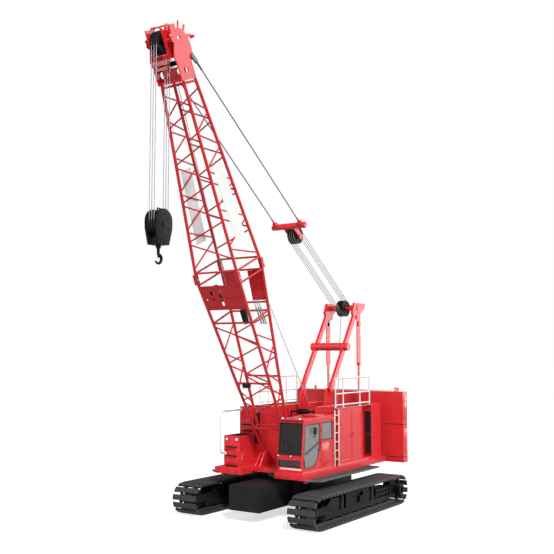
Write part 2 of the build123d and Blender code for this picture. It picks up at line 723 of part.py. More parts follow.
def lattice(ends, stations, offset, space):
    # zigzag lacing on all four faces, each bar ending on the chords
    tubes = []
    for face in ("left", "right", "front", "rear"):
        shift = 0.0 if face in ("left", "right") else offset
        side = 1 if face in ("left", "front") else -1
        for k in range(len(stations) - 1):
            t0 = stations[k] + shift + laceGap
            t1 = stations[k + 1] + shift - laceGap
            y0, n0 = chordAt(t0, ends)
            y1, n1 = chordAt(t1, ends)
            flip = side * (1 if k % 2 == 0 else -1)
            if face in ("left", "right"):
                tube = prism((t0, side * y0, flip * n0), (t1, side * y1, -flip * n1), laceR)
                tubes.append(tube & space[0])
            else:
                n = -1 if face == "front" else 1
                tube = prism((t0, flip * y0, n * n0), (t1, -flip * y1, n * n1), laceR)
                tubes.append(tube & space[1])
    return tubes


def crossBars(t, ends, space, faces):
    # straight bars across the boom on the named faces
    y, n = chordAt(t, ends)
    bars = []
    for face in faces:
        if face in ("left", "right"):
            side = 1 if face == "left" else -1
            bars.append(prism((t, side * y, -n), (t, side * y, n), crossR) & space[0])
        else:
            side = -1 if face == "front" else 1
            bars.append(prism((t, -y, side * n), (t, y, side * n), crossR) & space[1])
    return bars


def spread(first, last, panels, shrink):
    # stations along a section, each panel shorter than the one below it by the factor shrink
    steps = [shrink**k for k in range(panels)]
    scale = (last - first) / sum(steps)
    stations = [first]
    for step in steps:
        stations.append(stations[-1] + step * scale)
    return stations


forkLength = 150.0
tongue = 40.0
forkHalf = 58.0
allFaces = ("left", "right", "front", "rear")

# lower section: two pairs of chords, each from a foot boss to two forks
pairs = []
for ySide in (-1, 1):
    pieces = []
    for nSide in (-1, 1):
        y, n = chordAt(kinkT - 90, buttEnds)
        pieces.append(prism((0, ySide * footHalfY, 0), (kinkT - 90, ySide * y, nSide * n), chordR, 12))
        y, n = ySide * kinkHalfY, nSide * kinkHalfN
        fork = block(kinkT - forkLength, kinkT + 70, y - forkHalf, y + forkHalf, n - forkHalf, n + forkHalf)
        fork = fork - block(kinkT - 70, kinkT + 80, y - tongue / 2, y + tongue / 2, n - forkHalf - 1, n + forkHalf + 1)
        pieces.append(fork)
    pieces.append(disc(0, ySide * footHalfY - footBossWidth / 2, ySide * footHalfY + footBossWidth / 2, 0, footBossR, 16))
    pairs.append(joined(pieces) - shaft(0, -900, 900, 0, footPinR + pinFit))
nodes["boom_butt"] = boomPlace * Compound(pairs)
buttSpace = between(600, kinkT - 100, buttEnds)
buttStations = spread(buttFirst, buttLast, buttPanels, 1.0)
lacing = lattice(buttEnds, buttStations, faceOffset, buttSpace)
lacing += crossBars(buttFirst - 60, buttEnds, buttSpace, allFaces)
lacing += crossBars((buttStations[2] + faceOffset), buttEnds, buttSpace, ("front", "rear"))
lacing += crossBars(bayStart - 320, buttEnds, buttSpace, allFaces)
lacing += crossBars(bayStart - 60, buttEnds, buttSpace, ("rear",))
lacing += crossBars(bayEnd + 36, buttEnds, buttSpace, ("rear", "left", "right"))
nodes["boom_butt_lacing"] = boomPlace * Compound(lacing)

# upper section: four chords with tongues that pin into the forks
chords = []
stop = block(kinkT - 200, topT, -2000, 2000, -2000, 2000)
for ySide in (-1, 1):
    for nSide in (-1, 1):
        y, n = ySide * kinkHalfY, nSide * kinkHalfN
        eye = block(kinkT - 60, kinkT + forkLength, y - tongue / 2, y + tongue / 2, n - forkHalf, n + forkHalf)
        eye = eye + block(kinkT + 80, kinkT + forkLength, y - forkHalf, y + forkHalf, n - forkHalf, n + forkHalf)
        y0, n0 = chordAt(kinkT + 110, topEnds)
        y1, n1 = chordAt(topT + 40, topEnds)
        chord = prism((kinkT + 110, ySide * y0, nSide * n0), (topT + 40, ySide * y1, nSide * n1), chordR, 12)
        chords.append(eye + (chord & stop))
nodes["boom_top"] = boomPlace * Compound(chords)
topSpace = between(kinkT, topT, topEnds)
topStations = spread(topFirst, topLast, topPanels, panelShrink)
lacing = lattice(topEnds, topStations, faceOffset - 30, topSpace)
lacing += crossBars(kinkT + 190, topEnds, topSpace, allFaces)
lacing += crossBars(topT - 70, topEnds, topSpace, allFaces)
nodes["boom_top_lacing"] = boomPlace * Compound(lacing)

# head: side plates on the chords' ends, inner cheeks for the sheaves, guards and lugs
plateY1 = headPlateY + headPlate
stepT = guideT - 30
lowHalfN = topHalfN + 95
headOutline = [(topT, -lowHalfN), (stepT, -lowHalfN - 30), (guideT + 150, -lowHalfN - 85), (headT - 95, headN - 5)]
headOutline += [(headT + 125, headN - 120), (headT + 255, headN + 100), (headT + 275, jibN + 100), (headT + 205, jibN + 250)]
headOutline += [(jibT - 20, jibN + 380), (jibT - 170, jibN + 430), (pendantT + 90, pendantN + 65), (pendantT - 90, pendantN - 15)]
headOutline += [(stepT, topHalfN - 76), (topT, topHalfN - 76)]
plates = []
for ySide in (-1, 1):
    a, b = sorted((ySide * headPlateY, ySide * plateY1))
    plate = sidePlate(headOutline, a, b)
    cuts = [disc(guideT - 240, a - 5, b + 5, -90, 100, 12), rod((jibT, a - 5, jibN), (jibT, b + 5, jibN), jibR)]
    cuts.append(disc(pendantT, a - 5, b + 5, pendantN - 10, 36, 8))
    plates.append(plate - cuts)
    # rear chords run on behind the lower plates
    stub = prism((topT - 40, ySide * topHalfY, topHalfN), (guideT - 40, ySide * (headPlateY - 12), topHalfN - 32), chordR, 8)
    plates.append(stub - block(topT - 200, topT, -2000, 2000, -2000, 2000))
    # ears and spikes on top, and lugs behind
    plates.append(block(headT + 200, headT + 400, a, b, headN - 10, headN + 220))
    plates.append(bar(headT + 230, headN + 300, headT + 455, headN + 420, 34, a, b))
    plates.append(bar(headT + 120, jibN + 240, headT + 320, jibN + 380, 50, a, b))
    plates.append(block(headT - 20, headT + 70, a, b, jibN + 340, jibN + 550))
    c, d = sorted((ySide * (headPlateY - 60), ySide * (plateY1 + 40)))
    plates.append(disc(headT - 20, c, d, jibN + 620, 42, 8) + block(headT - 30, headT + 30, a, b, jibN + 540, jibN + 620))
# headers between the plates and a cross plate with two holes
for n0 in (-topHalfN - 35, topHalfN - 120):
    plates.append(block(topT, topT + 80, -headPlateY - 5, headPlateY + 5, n0, n0 + 70))
crossPlate = block(topT + 60, guideT - 110, -headPlateY - 5, headPlateY + 5, -80, -60)
for y in (-186, 186):
    crossPlate = crossPlate - prism((guideT - 230, y, -100), (guideT - 230, y, -40), 90, 12)
plates.append(crossPlate)
plates.append(block(pendantT + 90, pendantT + 210, -headPlateY - 5, headPlateY + 5, pendantN - 40, pendantN + 60))
plates.append(shaft(headT, -headPlateY - 5, headPlateY + 5, headN, 55))
plates.append(shaft(guideT, -headPlateY - 5, headPlateY + 5, guideN, 30))
cheek = [(guideT + 150, headN - 170), (headT + 155, headN - 170), (headT + 375, headN - 230), (headT + 385, headN - 180)]
cheek += [(headT + 270, headN - 60), (headT + 445, headN + 60), (headT + 445, headN + 160), (headT + 215, headN + 190)]
cheek += [(headT - 245, headN + 240), (guideT + 150, headN + 180)]
for ySide in (-1, 1):
    a, b = sorted((ySide * cheekY, ySide * (cheekY + 20)))
    plates.append(sidePlate(cheek, a, b))
plates.append(disc(headT + 405, -cheekY - 20, cheekY + 20, headN + 120, 20, 8))
head = joined(plates)
nodes["boom_head"] = boomPlace * head


def flangedPack(x, z, ys, root, boreR):
    # grooved sheaves side by side: one body at the rope's root, and flanges between the ropes
    half = fallSpacing / 2
    pack = disc(x, min(ys) - half, max(ys) + half, z, root, 16)
    for k in range(len(ys) + 1):
        y = min(ys) - half + k * fallSpacing
        y0, y1 = max(y - flangeWidth / 2, min(ys) - half), min(y + flangeWidth / 2, max(ys) + half)
        pack = pack + disc(x, y0, y1, z, flangeEdge, 16)
    return pack - shaft(x, -900, 900, z, boreR)


fallYs = (-fallSpacing, 0.0, fallSpacing)
rootR = ropePitchR - fallR - fit
headPack = flangedPack(headT, headN, fallYs, rootR, 55 + fit)
guidePack = sheavePack(guideT, guideN, fallYs, guideR, 30 + fit)
nodes["head_sheaves"] = boomPlace * Compound([headPack, guidePack])

# winch bay: a front plate with a slot and holes, the drum's brackets, and two rear plates
bayPoints = []
for t, side in ((bayFront, -1), (bayEnd, -1), (bayEnd, 1), (bayFront, 1)):
    bayPoints.append((t, -chordAt(t, buttEnds)[1] + side * 10))
frontPlate = sidePlate(bayPoints, -900, 900) & buttSpace[1]
holes = [block(bayFront + 130, bayFront + 630, -120, 20, -900, -300)]
for t, y, r in ((530, -380, 70), (350, -600, 40), (340, -370, 40), (160, -540, 40)):
    holes.append(prism((bayFront + t, y, -900), (bayFront + t, y, -300), r, 8))
frontPlate = frontPlate - holes
brackets = []
for y0, y1 in ((bayDrumY[0] - 36, bayDrumY[0] - 12), (bayDrumY[1] + 12, bayDrumY[1] + 36)):
    reach = [(bayFront + 20, bayPoints[0][1] + 12), (bayEnd - 60, bayPoints[1][1] + 20), (bayEnd - 180, bayDrumN + 140), (bayFront + 160, bayDrumN + 140)]
    brackets.append(sidePlate(reach, y0, y1))
bay = [frontPlate + brackets]
for t0, t1, a, b in ((bayStart, bayEnd, 200, 900), (bayStart, bayEnd, -900, -200)):
    n0 = chordAt(t0, buttEnds)[1]
    n1 = chordAt(t1, buttEnds)[1]
    plate = sidePlate([(t0, n0 - 10), (t1, n1 - 10), (t1, n1 + 10), (t0, n0 + 10)], a, b)
    bay.append(plate & buttSpace[1])
nodes["boom_winch_frame"] = boomPlace * Compound(bay)
boomDrum = disc(bayDrumT, bayDrumY[0] - 12, bayDrumY[1] + 12, bayDrumN, 70, 8)
boomDrum = boomDrum + disc(bayDrumT, bayDrumY[0], bayDrumY[1], bayDrumN, 180, 12)
for y in bayDrumY:
    y0, y1 = sorted((y, y + (30 if y == bayDrumY[0] else -30)))
    boomDrum = boomDrum + disc(bayDrumT, y0, y1, bayDrumN, bayDrumR, 16)
nodes["boom_winch_drum"] = boomPlace * boomDrum

# blank boards on both side faces of the upper section
boards = []
boardT = (7050.0, 9250.0)
boardHalf = 240.0
boardThick = 8.0
for side in (-1, 1):
    ya = chordAt(boardT[0], topEnds)[0] + 0.9 * laceR + fit
    yb = chordAt(boardT[1], topEnds)[0] + 0.9 * laceR + fit
    pts = [(boardT[0], side * ya), (boardT[1], side * yb), (boardT[1], side * (yb + boardThick)), (boardT[0], side * (ya + boardThick))]
    boards.append(floorPlate(pts, -boardHalf, boardHalf))
nodes["boom_boards"] = boomPlace * Compound(boards)

# Boom hoist: ropes, bridle and pendants
pendX, _, pendZ = boomPoint(pendantT, 0, pendantN)
hoistAngle = degrees(atan2(pendZ - gantryZ, pendX - gantryX))
pendLine = hypot(pendX - gantryX, pendZ - gantryZ)
hoistPlace = Pos(gantryX, 0, gantryZ) * Rot(0, -hoistAngle, 0)
ropes = []
ropeOff = hoistSheaveR + hoistRopeR + fit
for y in hoistYs:
    for n in (-ropeOff, ropeOff):
        ropes.append(prism((0, y, n), (hoistLength, y, n), hoistRopeR, 8))
nodes["boom_hoist_ropes"] = hoistPlace * Compound(ropes)
bridle = []
for side in (-1, 1):
    a, b = sorted((side * 165, side * 195))
    bridle.append(sidePlate([(hoistLength - 150, -90), (hoistLength - 150, 90), (hoistLength + 480, 90), (hoistLength + 480, -90)], a, b))
    c, d = sorted((side * (pendantY - 60), side * (pendantY + 60)))
    bridle.append(block(hoistLength + 400, hoistLength + 620, c, d, -60, 60))
bridle.append(block(hoistLength + 380, hoistLength + 500, -bridleHalfY, bridleHalfY, -80, 80))
bridle.append(shaft(hoistLength, -180, 180, 0, 50))
nodes["bridle"] = hoistPlace * (bridle[0] + bridle[1:])
nodes["bridle_sheaves"] = hoistPlace * sheavePack(hoistLength, 0, hoistYs, hoistSheaveR, 50 + fit)
pendants = []
eyeIn = plateY1 + fit
for side in (-1, 1):
    line = prism((hoistLength + 620, side * pendantY, 0), (pendLine - 160, side * pendantY, 0), pendantR, 8)
    a, b = sorted((side * eyeIn, side * (eyeIn + 40)))
    eye = block(pendLine - 200, pendLine + 70, a, b, -60, 60)
    pendants.append(line + eye)
nodes["pendants"] = hoistPlace * Compound(pendants)

# Falls and hook block
headX, _, headZ = boomPoint(headT, 0, headN)
falls = []
for y in fallYs:
    for side in (-1, 1):
        x = headX + side * ropePitchR
        falls.append(prism((x, y, blockSheaveZ), (x, y, headZ), fallR, 8))
nodes["hoist_falls"] = Compound(falls)
cheekOutline = [(-200, cheekBottom), (200, cheekBottom), (blockHalfX, cheekBottom + 260), (blockHalfX, cheekTop - 260)]
cheekOutline += [(140, cheekTop), (-140, cheekTop), (-blockHalfX, cheekTop - 260), (-blockHalfX, cheekBottom + 260)]
cheeks = []
for side in (-1, 1):
    a, b = sorted((side * cheekInner, side * (cheekInner + cheekThick)))
    cheeks.append(sidePlate([(headX + x, z) for x, z in cheekOutline], a, b))
cheeks.append(shaft(headX, -cheekInner - 5, cheekInner + 5, blockSheaveZ, 50))
cheeks.append(block(headX - 180, headX + 180, -cheekInner - 5, cheekInner + 5, cheekBottom, cheekBottom + 130))
cheeks.append(block(headX - 60, headX + 60, -cheekInner - 5, cheekInner + 5, cheekTop - 60, cheekTop))
nodes["hook_block"] = cheeks[0] + cheeks[1:]
blockPack = flangedPack(headX, blockSheaveZ, fallYs, rootR, 50 + fit)
nodes["block_sheaves"] = blockPack


def hookOutline(grow):
    # the bend of the hook, thick below and thin at its point
    points = []
    steps = 16
    for k in range(steps + 1):
        a = radians(95 + 230 * k / steps)
        points.append((hookR + 42 + grow - 12 * k / steps) * Vector(cos(a), 0, sin(a)))
    for k in range(steps + 1):
        a = radians(325 - 230 * k / steps)
        points.append((hookR - 42 - grow + 12 * (1 - k / steps)) * Vector(cos(a), 0, sin(a)))
    return [(headX + p.X, hookZ + p.Z) for p in points]


hookZ = cheekBottom - hookDrop
hookBody = prism((headX, 0, hookZ + hookR - 30), (headX, 0, cheekBottom), 48, 12)
hookBody = hookBody + sidePlate(hookOutline(0), -hookThick / 4, hookThick / 4)
nodes["hook"] = hookBody + sidePlate(hookOutline(-12), -hookThick / 2, hookThick / 2)

# Ladder between cab and house
ladder = []
ladderY = cabOuter + 45
for x in ladderX:
    ladder.append(block(x - 18, x + 18, ladderY - 12, ladderY + 12, deckTop, ladderTop))
for k in range(6):
    z = deckTop + 210 + k * rungPitch
    ladder.append(block(ladderX[0], ladderX[1], ladderY - 11, ladderY + 11, z - 13, z + 13))
ladder.append(block(cabRear + 10, ladderX[1] + 18, cabOuter, ladderY, ladderTop - 260, ladderTop - 220))
ladder.append(block(cabRear + 10, ladderX[1] + 18, cabOuter, ladderY, deckTop + 400, deckTop + 440))
nodes["ladder"] = ladder[0] + ladder[1:]

# Rails on both houses, and the bent rail in front of the right one
rails = []
for side in (-1, 1):
    y = side * (houseOuter - railIn)
    rail = []
    for z in (railTop, railMid, railToe):
        rail.append(block(railPosts[-1], railPosts[0], y - railR, y + railR, z - railR, z + railR))
    for x in railPosts:
        rail.append(block(x - railR, x + railR, y - railR, y + railR, houseTop, railTop + railR))
    rails.append(rail[0] + rail[1:])
portalY = -houseOuter + railIn
path = [(frontBoxFront, portalLow), (portalFront - portalBend, portalLow), (portalFront - 0.3 * portalBend, portalLow + 0.3 * portalBend)]
path += [(portalFront, portalLow + portalBend), (portalFront, portalTop - portalBend)]
path += [(portalFront - 0.3 * portalBend, portalTop - 0.3 * portalBend), (portalFront - portalBend, portalTop), (rightHouseFront, portalTop)]
bends = []
for k in range(len(path) - 1):
    bends.append(bar(path[k][0], path[k][1], path[k + 1][0], path[k + 1][1], 2 * portalR, portalY - portalR, portalY + portalR))
for x, z in path[1:-1]:
    bends.append(disc(x, portalY - portalR, portalY + portalR, z, portalR, 8))
rails.append(joined(bends))
nodes["handrails"] = Compound(rails)

os.makedirs("parts", exist_ok=True)
for name, shape in nodes.items():
    export_step(Pos(slewX, 0, 0) * shape, f"parts/{name}.step")
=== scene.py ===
import json
from math import atan2, cos, hypot, pi, radians, sin

import bpy
import bmesh
from mathutils import Matrix, Vector


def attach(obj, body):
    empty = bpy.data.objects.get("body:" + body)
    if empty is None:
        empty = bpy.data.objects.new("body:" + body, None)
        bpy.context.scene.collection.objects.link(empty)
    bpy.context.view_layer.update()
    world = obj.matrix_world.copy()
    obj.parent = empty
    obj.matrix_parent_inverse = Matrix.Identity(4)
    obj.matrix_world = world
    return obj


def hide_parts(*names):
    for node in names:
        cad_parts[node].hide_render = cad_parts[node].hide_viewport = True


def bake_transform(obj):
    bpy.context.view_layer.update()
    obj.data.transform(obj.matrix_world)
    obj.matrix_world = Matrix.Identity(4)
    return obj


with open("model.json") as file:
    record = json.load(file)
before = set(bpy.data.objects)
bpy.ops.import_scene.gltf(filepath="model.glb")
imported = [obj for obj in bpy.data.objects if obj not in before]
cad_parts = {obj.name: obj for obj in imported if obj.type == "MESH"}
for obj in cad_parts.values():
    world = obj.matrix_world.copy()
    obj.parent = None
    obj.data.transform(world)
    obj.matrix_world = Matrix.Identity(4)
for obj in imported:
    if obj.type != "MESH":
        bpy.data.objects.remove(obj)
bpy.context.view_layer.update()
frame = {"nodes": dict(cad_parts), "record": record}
scene = bpy.context.scene
print("frame loaded:", len(frame["nodes"]), "nodes")


# shader groups shared by the materials

def addNode(tree, kind, **settings):
    node = tree.nodes.new("ShaderNode" + kind)
    for name, value in settings.items():
        if name in node.inputs:
            node.inputs[name].default_value = value
        else:
            setattr(node, name, value)
    return node


def wire(tree, *pairs):
    for source, target in pairs:
        tree.links.new(source, target)


def newGroup(name, inputs, outputs):
    group = bpy.data.node_groups.new(name, "ShaderNodeTree")
    for socket in inputs:
        group.interface.new_socket(socket, in_out="INPUT", socket_type="NodeSocketFloat")
    for socket in outputs:
        group.interface.new_socket(socket, in_out="OUTPUT", socket_type="NodeSocketFloat")
    return group, group.nodes.new("NodeGroupInput"), group.nodes.new("NodeGroupOutput")


def makeEdgeWear():
    # scuffed edges, broken up by noise
    group, inp, out = newGroup("edgeWear", ["Breakup"], ["Mask"])
    geo = addNode(group, "NewGeometry")
    ramp = addNode(group, "ValToRGB")
    ramp.color_ramp.elements[0].position = 0.53
    ramp.color_ramp.elements[1].position = 0.6
    coord = addNode(group, "TexCoord")
    noise = addNode(group, "TexNoise")
    mul = addNode(group, "Math", operation="MULTIPLY")
    wire(group, (geo.outputs["Pointiness"], ramp.inputs["Fac"]),
         (coord.outputs["Object"], noise.inputs["Vector"]), (inp.outputs["Breakup"], noise.inputs["Scale"]),
         (ramp.outputs["Color"], mul.inputs[0]), (noise.outputs["Fac"], mul.inputs[1]),
         (mul.outputs[0], out.inputs["Mask"]))
    return group


def makeDust():
    # patchy dust on faces that look up
    group, inp, out = newGroup("settledDust", ["Scale", "Amount"], ["Mask"])
    geo = addNode(group, "NewGeometry")
    split = addNode(group, "SeparateXYZ")
    up = addNode(group, "MapRange", **{"From Min": 0.2})
    coord = addNode(group, "TexCoord")
    noise = addNode(group, "TexNoise", Detail=6.0)
    patch = addNode(group, "MapRange", **{"From Min": 0.35, "From Max": 0.75})
    mul = addNode(group, "Math", operation="MULTIPLY")
    amount = addNode(group, "Math", operation="MULTIPLY")
    wire(group, (geo.outputs["Normal"], split.inputs[0]), (split.outputs["Z"], up.inputs["Value"]),
         (coord.outputs["Object"], noise.inputs["Vector"]), (inp.outputs["Scale"], noise.inputs["Scale"]),
         (noise.outputs["Fac"], patch.inputs["Value"]), (up.outputs[0], mul.inputs[0]),
         (patch.outputs[0], mul.inputs[1]), (mul.outputs[0], amount.inputs[0]),
         (inp.outputs["Amount"], amount.inputs[1]), (amount.outputs[0], out.inputs["Mask"]))
    return group


def makeVariation():
    # slow drift of shade over large panels, and fine orange peel for the bump
    group, inp, out = newGroup("paintVariation", ["Broad", "Fine"], ["Shade", "Peel"])
    coord = addNode(group, "TexCoord")
    broad = addNode(group, "TexNoise")
    fine = addNode(group, "TexNoise", Detail=3.0)
    for noise, name in ((broad, "Broad"), (fine, "Fine")):
        group.links.new(coord.outputs["Object"], noise.inputs["Vector"])
        group.links.new(inp.outputs[name], noise.inputs["Scale"])
    group.links.new(broad.outputs["Fac"], out.inputs["Shade"])
    group.links.new(fine.outputs["Fac"], out.inputs["Peel"])
    return group


edgeWear = makeEdgeWear()
settledDust = makeDust()
paintVariation = makeVariation()


def placeGroup(tree, group, **values):
    node = tree.nodes.new("ShaderNodeGroup")
    node.node_tree = group
    for name, value in values.items():
        node.inputs[name].default_value = value
    return node


def mixColour(tree, fac, a, b):
    mix = tree.nodes.new("ShaderNodeMix")
    mix.data_type = "RGBA"
    for socket, value in ((mix.inputs[6], a), (mix.inputs[7], b)):
        if isinstance(value, tuple):
            socket.default_value = (*value, 1.0)
        else:
            tree.links.new(value, socket)
    tree.links.new(fac, mix.inputs[0])
    return mix.outputs[2]


def newMaterial(name):
    mat = bpy.data.materials.new(name)
    mat.use_nodes = True
    return mat, mat.node_tree, mat.node_tree.nodes["Principled BSDF"]


def paintMaterial(name, look):
    mat, tree, shader = newMaterial(name)
    vary = placeGroup(tree, paintVariation, Broad=look["broad"], Fine=look["fine"])
    wear = placeGroup(tree, edgeWear, Breakup=look["breakup"])
    dust = placeGroup(tree, settledDust, Scale=look["dustScale"], Amount=look["dust"])
    colour = mixColour(tree, vary.outputs["Shade"], look["dark"], look["light"])
    worn = addNode(tree, "Math", operation="MULTIPLY")
    tree.links.new(wear.outputs["Mask"], worn.inputs[0])
    worn.inputs[1].default_value = look["wear"]
    colour = mixColour(tree, worn.outputs[0], colour, look["bare"])
    colour = mixColour(tree, dust.outputs["Mask"], colour, look["dustColour"])
    tree.links.new(colour, shader.inputs["Base Color"])
    rough = addNode(tree, "MapRange", **{"To Min": look["rough"][0], "To Max": look["rough"][1]})
    tree.links.new(vary.outputs["Shade"], rough.inputs["Value"])
    tree.links.new(rough.outputs[0], shader.inputs["Roughness"])
    bump = addNode(tree, "Bump", Strength=look["bump"], Distance=look["bumpDepth"])
    tree.links.new(vary.outputs["Peel"], bump.inputs["Height"])
    tree.links.new(bump.outputs[0], shader.inputs["Normal"])
    shader.inputs["Metallic"].default_value = look.get("metal", 0.0)
    shader.inputs["Specular IOR Level"].default_value = look.get("specular", 0.5)
    shader.inputs["Coat Weight"].default_value = look.get("coat", 0.0)
    shader.inputs["Coat Roughness"].default_value = 0.08
    return mat


# every look starts from the same wear, bump and dust
baseLook = {"wear": 0.3, "bump": 0.3, "bumpDepth": 0.001, "dust": 0.05, "dustScale": 3.0}
redLook = {**baseLook, "dark": (0.61, 0.011, 0.017), "light": (0.69, 0.017, 0.025), "bare": (0.7, 0.1, 0.1),
    "wear": 0.25, "breakup": 9.0, "broad": 0.6, "fine": 220.0, "rough": (0.3, 0.42), "bump": 0.05,
    "coat": 0.6, "specular": 0.15, "dustScale": 2.0, "dustColour": (0.6, 0.35, 0.32)}
blackLook = {**baseLook, "dark": (0.002, 0.002, 0.0022), "light": (0.005, 0.005, 0.0052),
    "bare": (0.07, 0.07, 0.07), "wear": 0.35, "breakup": 14.0, "broad": 1.2, "fine": 160.0,
    "rough": (0.42, 0.6), "bump": 0.1, "specular": 0.1, "dust": 0.04, "dustColour": (0.06, 0.057, 0.055)}
castLook = {**baseLook, "dark": (0.0035, 0.0035, 0.0035), "light": (0.01, 0.01, 0.01),
    "bare": (0.13, 0.13, 0.135), "wear": 0.6, "breakup": 22.0, "broad": 2.5, "fine": 70.0,
    "rough": (0.4, 0.6), "bumpDepth": 0.002, "metal": 0.05, "specular": 0.2, "dust": 0.08, "dustScale": 4.0,
    "dustColour": (0.1, 0.095, 0.09)}
greyLook = {**baseLook, "dark": (0.2, 0.2, 0.21), "light": (0.28, 0.28, 0.29), "bare": (0.5, 0.5, 0.5),
    "wear": 0.5, "breakup": 12.0, "broad": 1.4, "fine": 120.0, "rough": (0.4, 0.55), "bump": 0.12,
    "metal": 0.3, "dust": 0.1, "dustColour": (0.4, 0.39, 0.37)}
whiteLook = {**baseLook, "dark": (0.66, 0.66, 0.655), "light": (0.74, 0.74, 0.735), "bare": (0.5, 0.5, 0.5),
    "breakup": 12.0, "broad": 1.0, "fine": 160.0, "rough": (0.32, 0.45), "bump": 0.05,
    "dustColour": (0.6, 0.58, 0.55)}
ropeLook = {**baseLook, "dark": (0.24, 0.24, 0.25), "light": (0.4, 0.4, 0.41), "bare": (0.6, 0.6, 0.6),
    "wear": 0.6, "breakup": 40.0, "broad": 6.0, "fine": 300.0, "rough": (0.35, 0.5), "metal": 0.6,
    "dust": 0.0, "dustColour": (0.3, 0.3, 0.3)}
seatLook = {**baseLook, "dark": (0.02, 0.02, 0.022), "light": (0.04, 0.04, 0.043),
    "bare": (0.06, 0.06, 0.06), "wear": 0.4, "breakup": 30.0, "broad": 4.0, "fine": 420.0,
    "rough": (0.8, 0.95), "bump": 0.5, "bumpDepth": 0.002, "specular": 0.2, "dustScale": 6.0,
    "dustColour": (0.1, 0.1, 0.1)}
plasticLook = {**baseLook, "dark": (0.012, 0.012, 0.013), "light": (0.02, 0.02, 0.021),
    "bare": (0.05, 0.05, 0.05), "breakup": 20.0, "broad": 2.0, "fine": 500.0, "rough": (0.5, 0.62),
    "bump": 0.25, "specular": 0.4, "dust": 0.1, "dustScale": 5.0, "dustColour": (0.09, 0.09, 0.09)}
lampLook = {**baseLook, "dark": (0.8, 0.8, 0.78), "light": (0.95, 0.95, 0.93), "bare": (0.6, 0.6, 0.6),
    "wear": 0.1, "breakup": 20.0, "broad": 8.0, "fine": 90.0, "rough": (0.08, 0.16), "bumpDepth": 0.002,
    "coat": 0.5, "dust": 0.0, "dustScale": 5.0, "dustColour": (0.6, 0.6, 0.6)}
walkLook = {**baseLook, "dark": (0.02, 0.019, 0.019), "light": (0.045, 0.043, 0.043),
    "bare": (0.3, 0.3, 0.3), "wear": 0.5, "breakup": 16.0, "broad": 1.8, "fine": 90.0,
    "rough": (0.45, 0.65), "bump": 0.25, "metal": 0.2, "dust": 0.15, "dustColour": (0.12, 0.11, 0.1)}
pendantLook = {**baseLook, "dark": (0.02, 0.02, 0.022), "light": (0.06, 0.06, 0.064),
    "bare": (0.3, 0.3, 0.3), "wear": 0.4, "breakup": 40.0, "broad": 6.0, "fine": 300.0,
    "rough": (0.4, 0.55), "metal": 0.4, "dust": 0.0, "dustColour": (0.3, 0.3, 0.3)}
# the boom's red: a darker copy of the same red paint, with painted shade for the thin lattice and chords
boomShadedLook = {**redLook, "dark": (0.47, 0.007, 0.014), "light": (0.55, 0.012, 0.02), "coat": 0.3,
            "specular": 0.1}

redPaint = paintMaterial("redPaint", redLook)
boomPaintedShade = paintMaterial("boomPaintedShade", boomShadedLook)
walkSteel = paintMaterial("walkSteel", walkLook)
pendantSteel = paintMaterial("pendantSteel", pendantLook)
blackPaint = paintMaterial("blackPaint", blackLook)
castSteel = paintMaterial("castSteel", castLook)
greySteel = paintMaterial("greySteel", greyLook)
whitePaint = paintMaterial("whitePaint", whiteLook)
ropeSteel = paintMaterial("ropeSteel", ropeLook)
wovenSeat = paintMaterial("wovenSeat", seatLook)
blackPlastic = paintMaterial("blackPlastic", plasticLook)
lampLens = paintMaterial("lampLens", lampLook)


def glassMaterial(name, dark, light, clear):
    # tinted glass with a faint film of dirt
    mat, tree, shader = newMaterial(name)
    vary = placeGroup(tree, paintVariation, Broad=1.5, Fine=6.0)
    colour = mixColour(tree, vary.outputs["Shade"], dark, light)
    tree.links.new(colour, shader.inputs["Base Color"])
    film = addNode(tree, "MapRange", **{"To Min": 0.02, "To Max": 0.09})
    tree.links.new(vary.outputs["Peel"], film.inputs["Value"])
    tree.links.new(film.outputs[0], shader.inputs["Roughness"])
    shader.inputs["Transmission Weight"].default_value = clear
    shader.inputs["Coat Weight"].default_value = 0.5
    shader.inputs["Coat Roughness"].default_value = 0.03
    return mat


cabGlass = glassMaterial("cabGlass", (0.16, 0.165, 0.17), (0.2, 0.205, 0.21), 0.92)
# side windows: pale grey, half clear glass whose paleness is a painted reflection
sideGlassPaintedReflection = glassMaterial("sideGlassPaintedReflection", (0.33, 0.34, 0.335), (0.42, 0.43, 0.42), 0.45)
slotMaterials = {"red_paint": redPaint, "black_paint": blackPaint, "white_paint": whitePaint,
                 "grey_steel": greySteel, "dark_steel": blackPaint, "black_weight": blackPaint,
                 "track_steel": castSteel, "ring_steel": greySteel, "rope": ropeSteel, "glass": cabGlass,
                 "seat": wovenSeat, "black_plastic": blackPlastic, "lamp": lampLens}
slotOf = {part["node"]: part["material_slot"] for part in frame["record"]["subparts"]}
for name, obj in frame["nodes"].items():
    obj.data.materials.clear()
    obj.data.materials.append(slotMaterials[slotOf[name]])
# boom nodes take the darker red copy, painted shade
for name in ("boom_butt", "boom_butt_lacing", "boom_top", "boom_top_lacing", "boom_winch_frame"):
    frame["nodes"][name].data.materials[0] = boomPaintedShade
frame["nodes"]["door_glass"].data.materials[0] = sideGlassPaintedReflection
frame["nodes"]["walkways"].data.materials[0] = walkSteel
frame["nodes"]["pendants"].data.materials[0] = pendantSteel
print("materials placed")


# pieces are drawn in millimetres from the slewing axis, or along the boom or the boom hoist

slewX = -1.2853
boomAngle = radians(65.12)
footX, footZ = 970, 1750
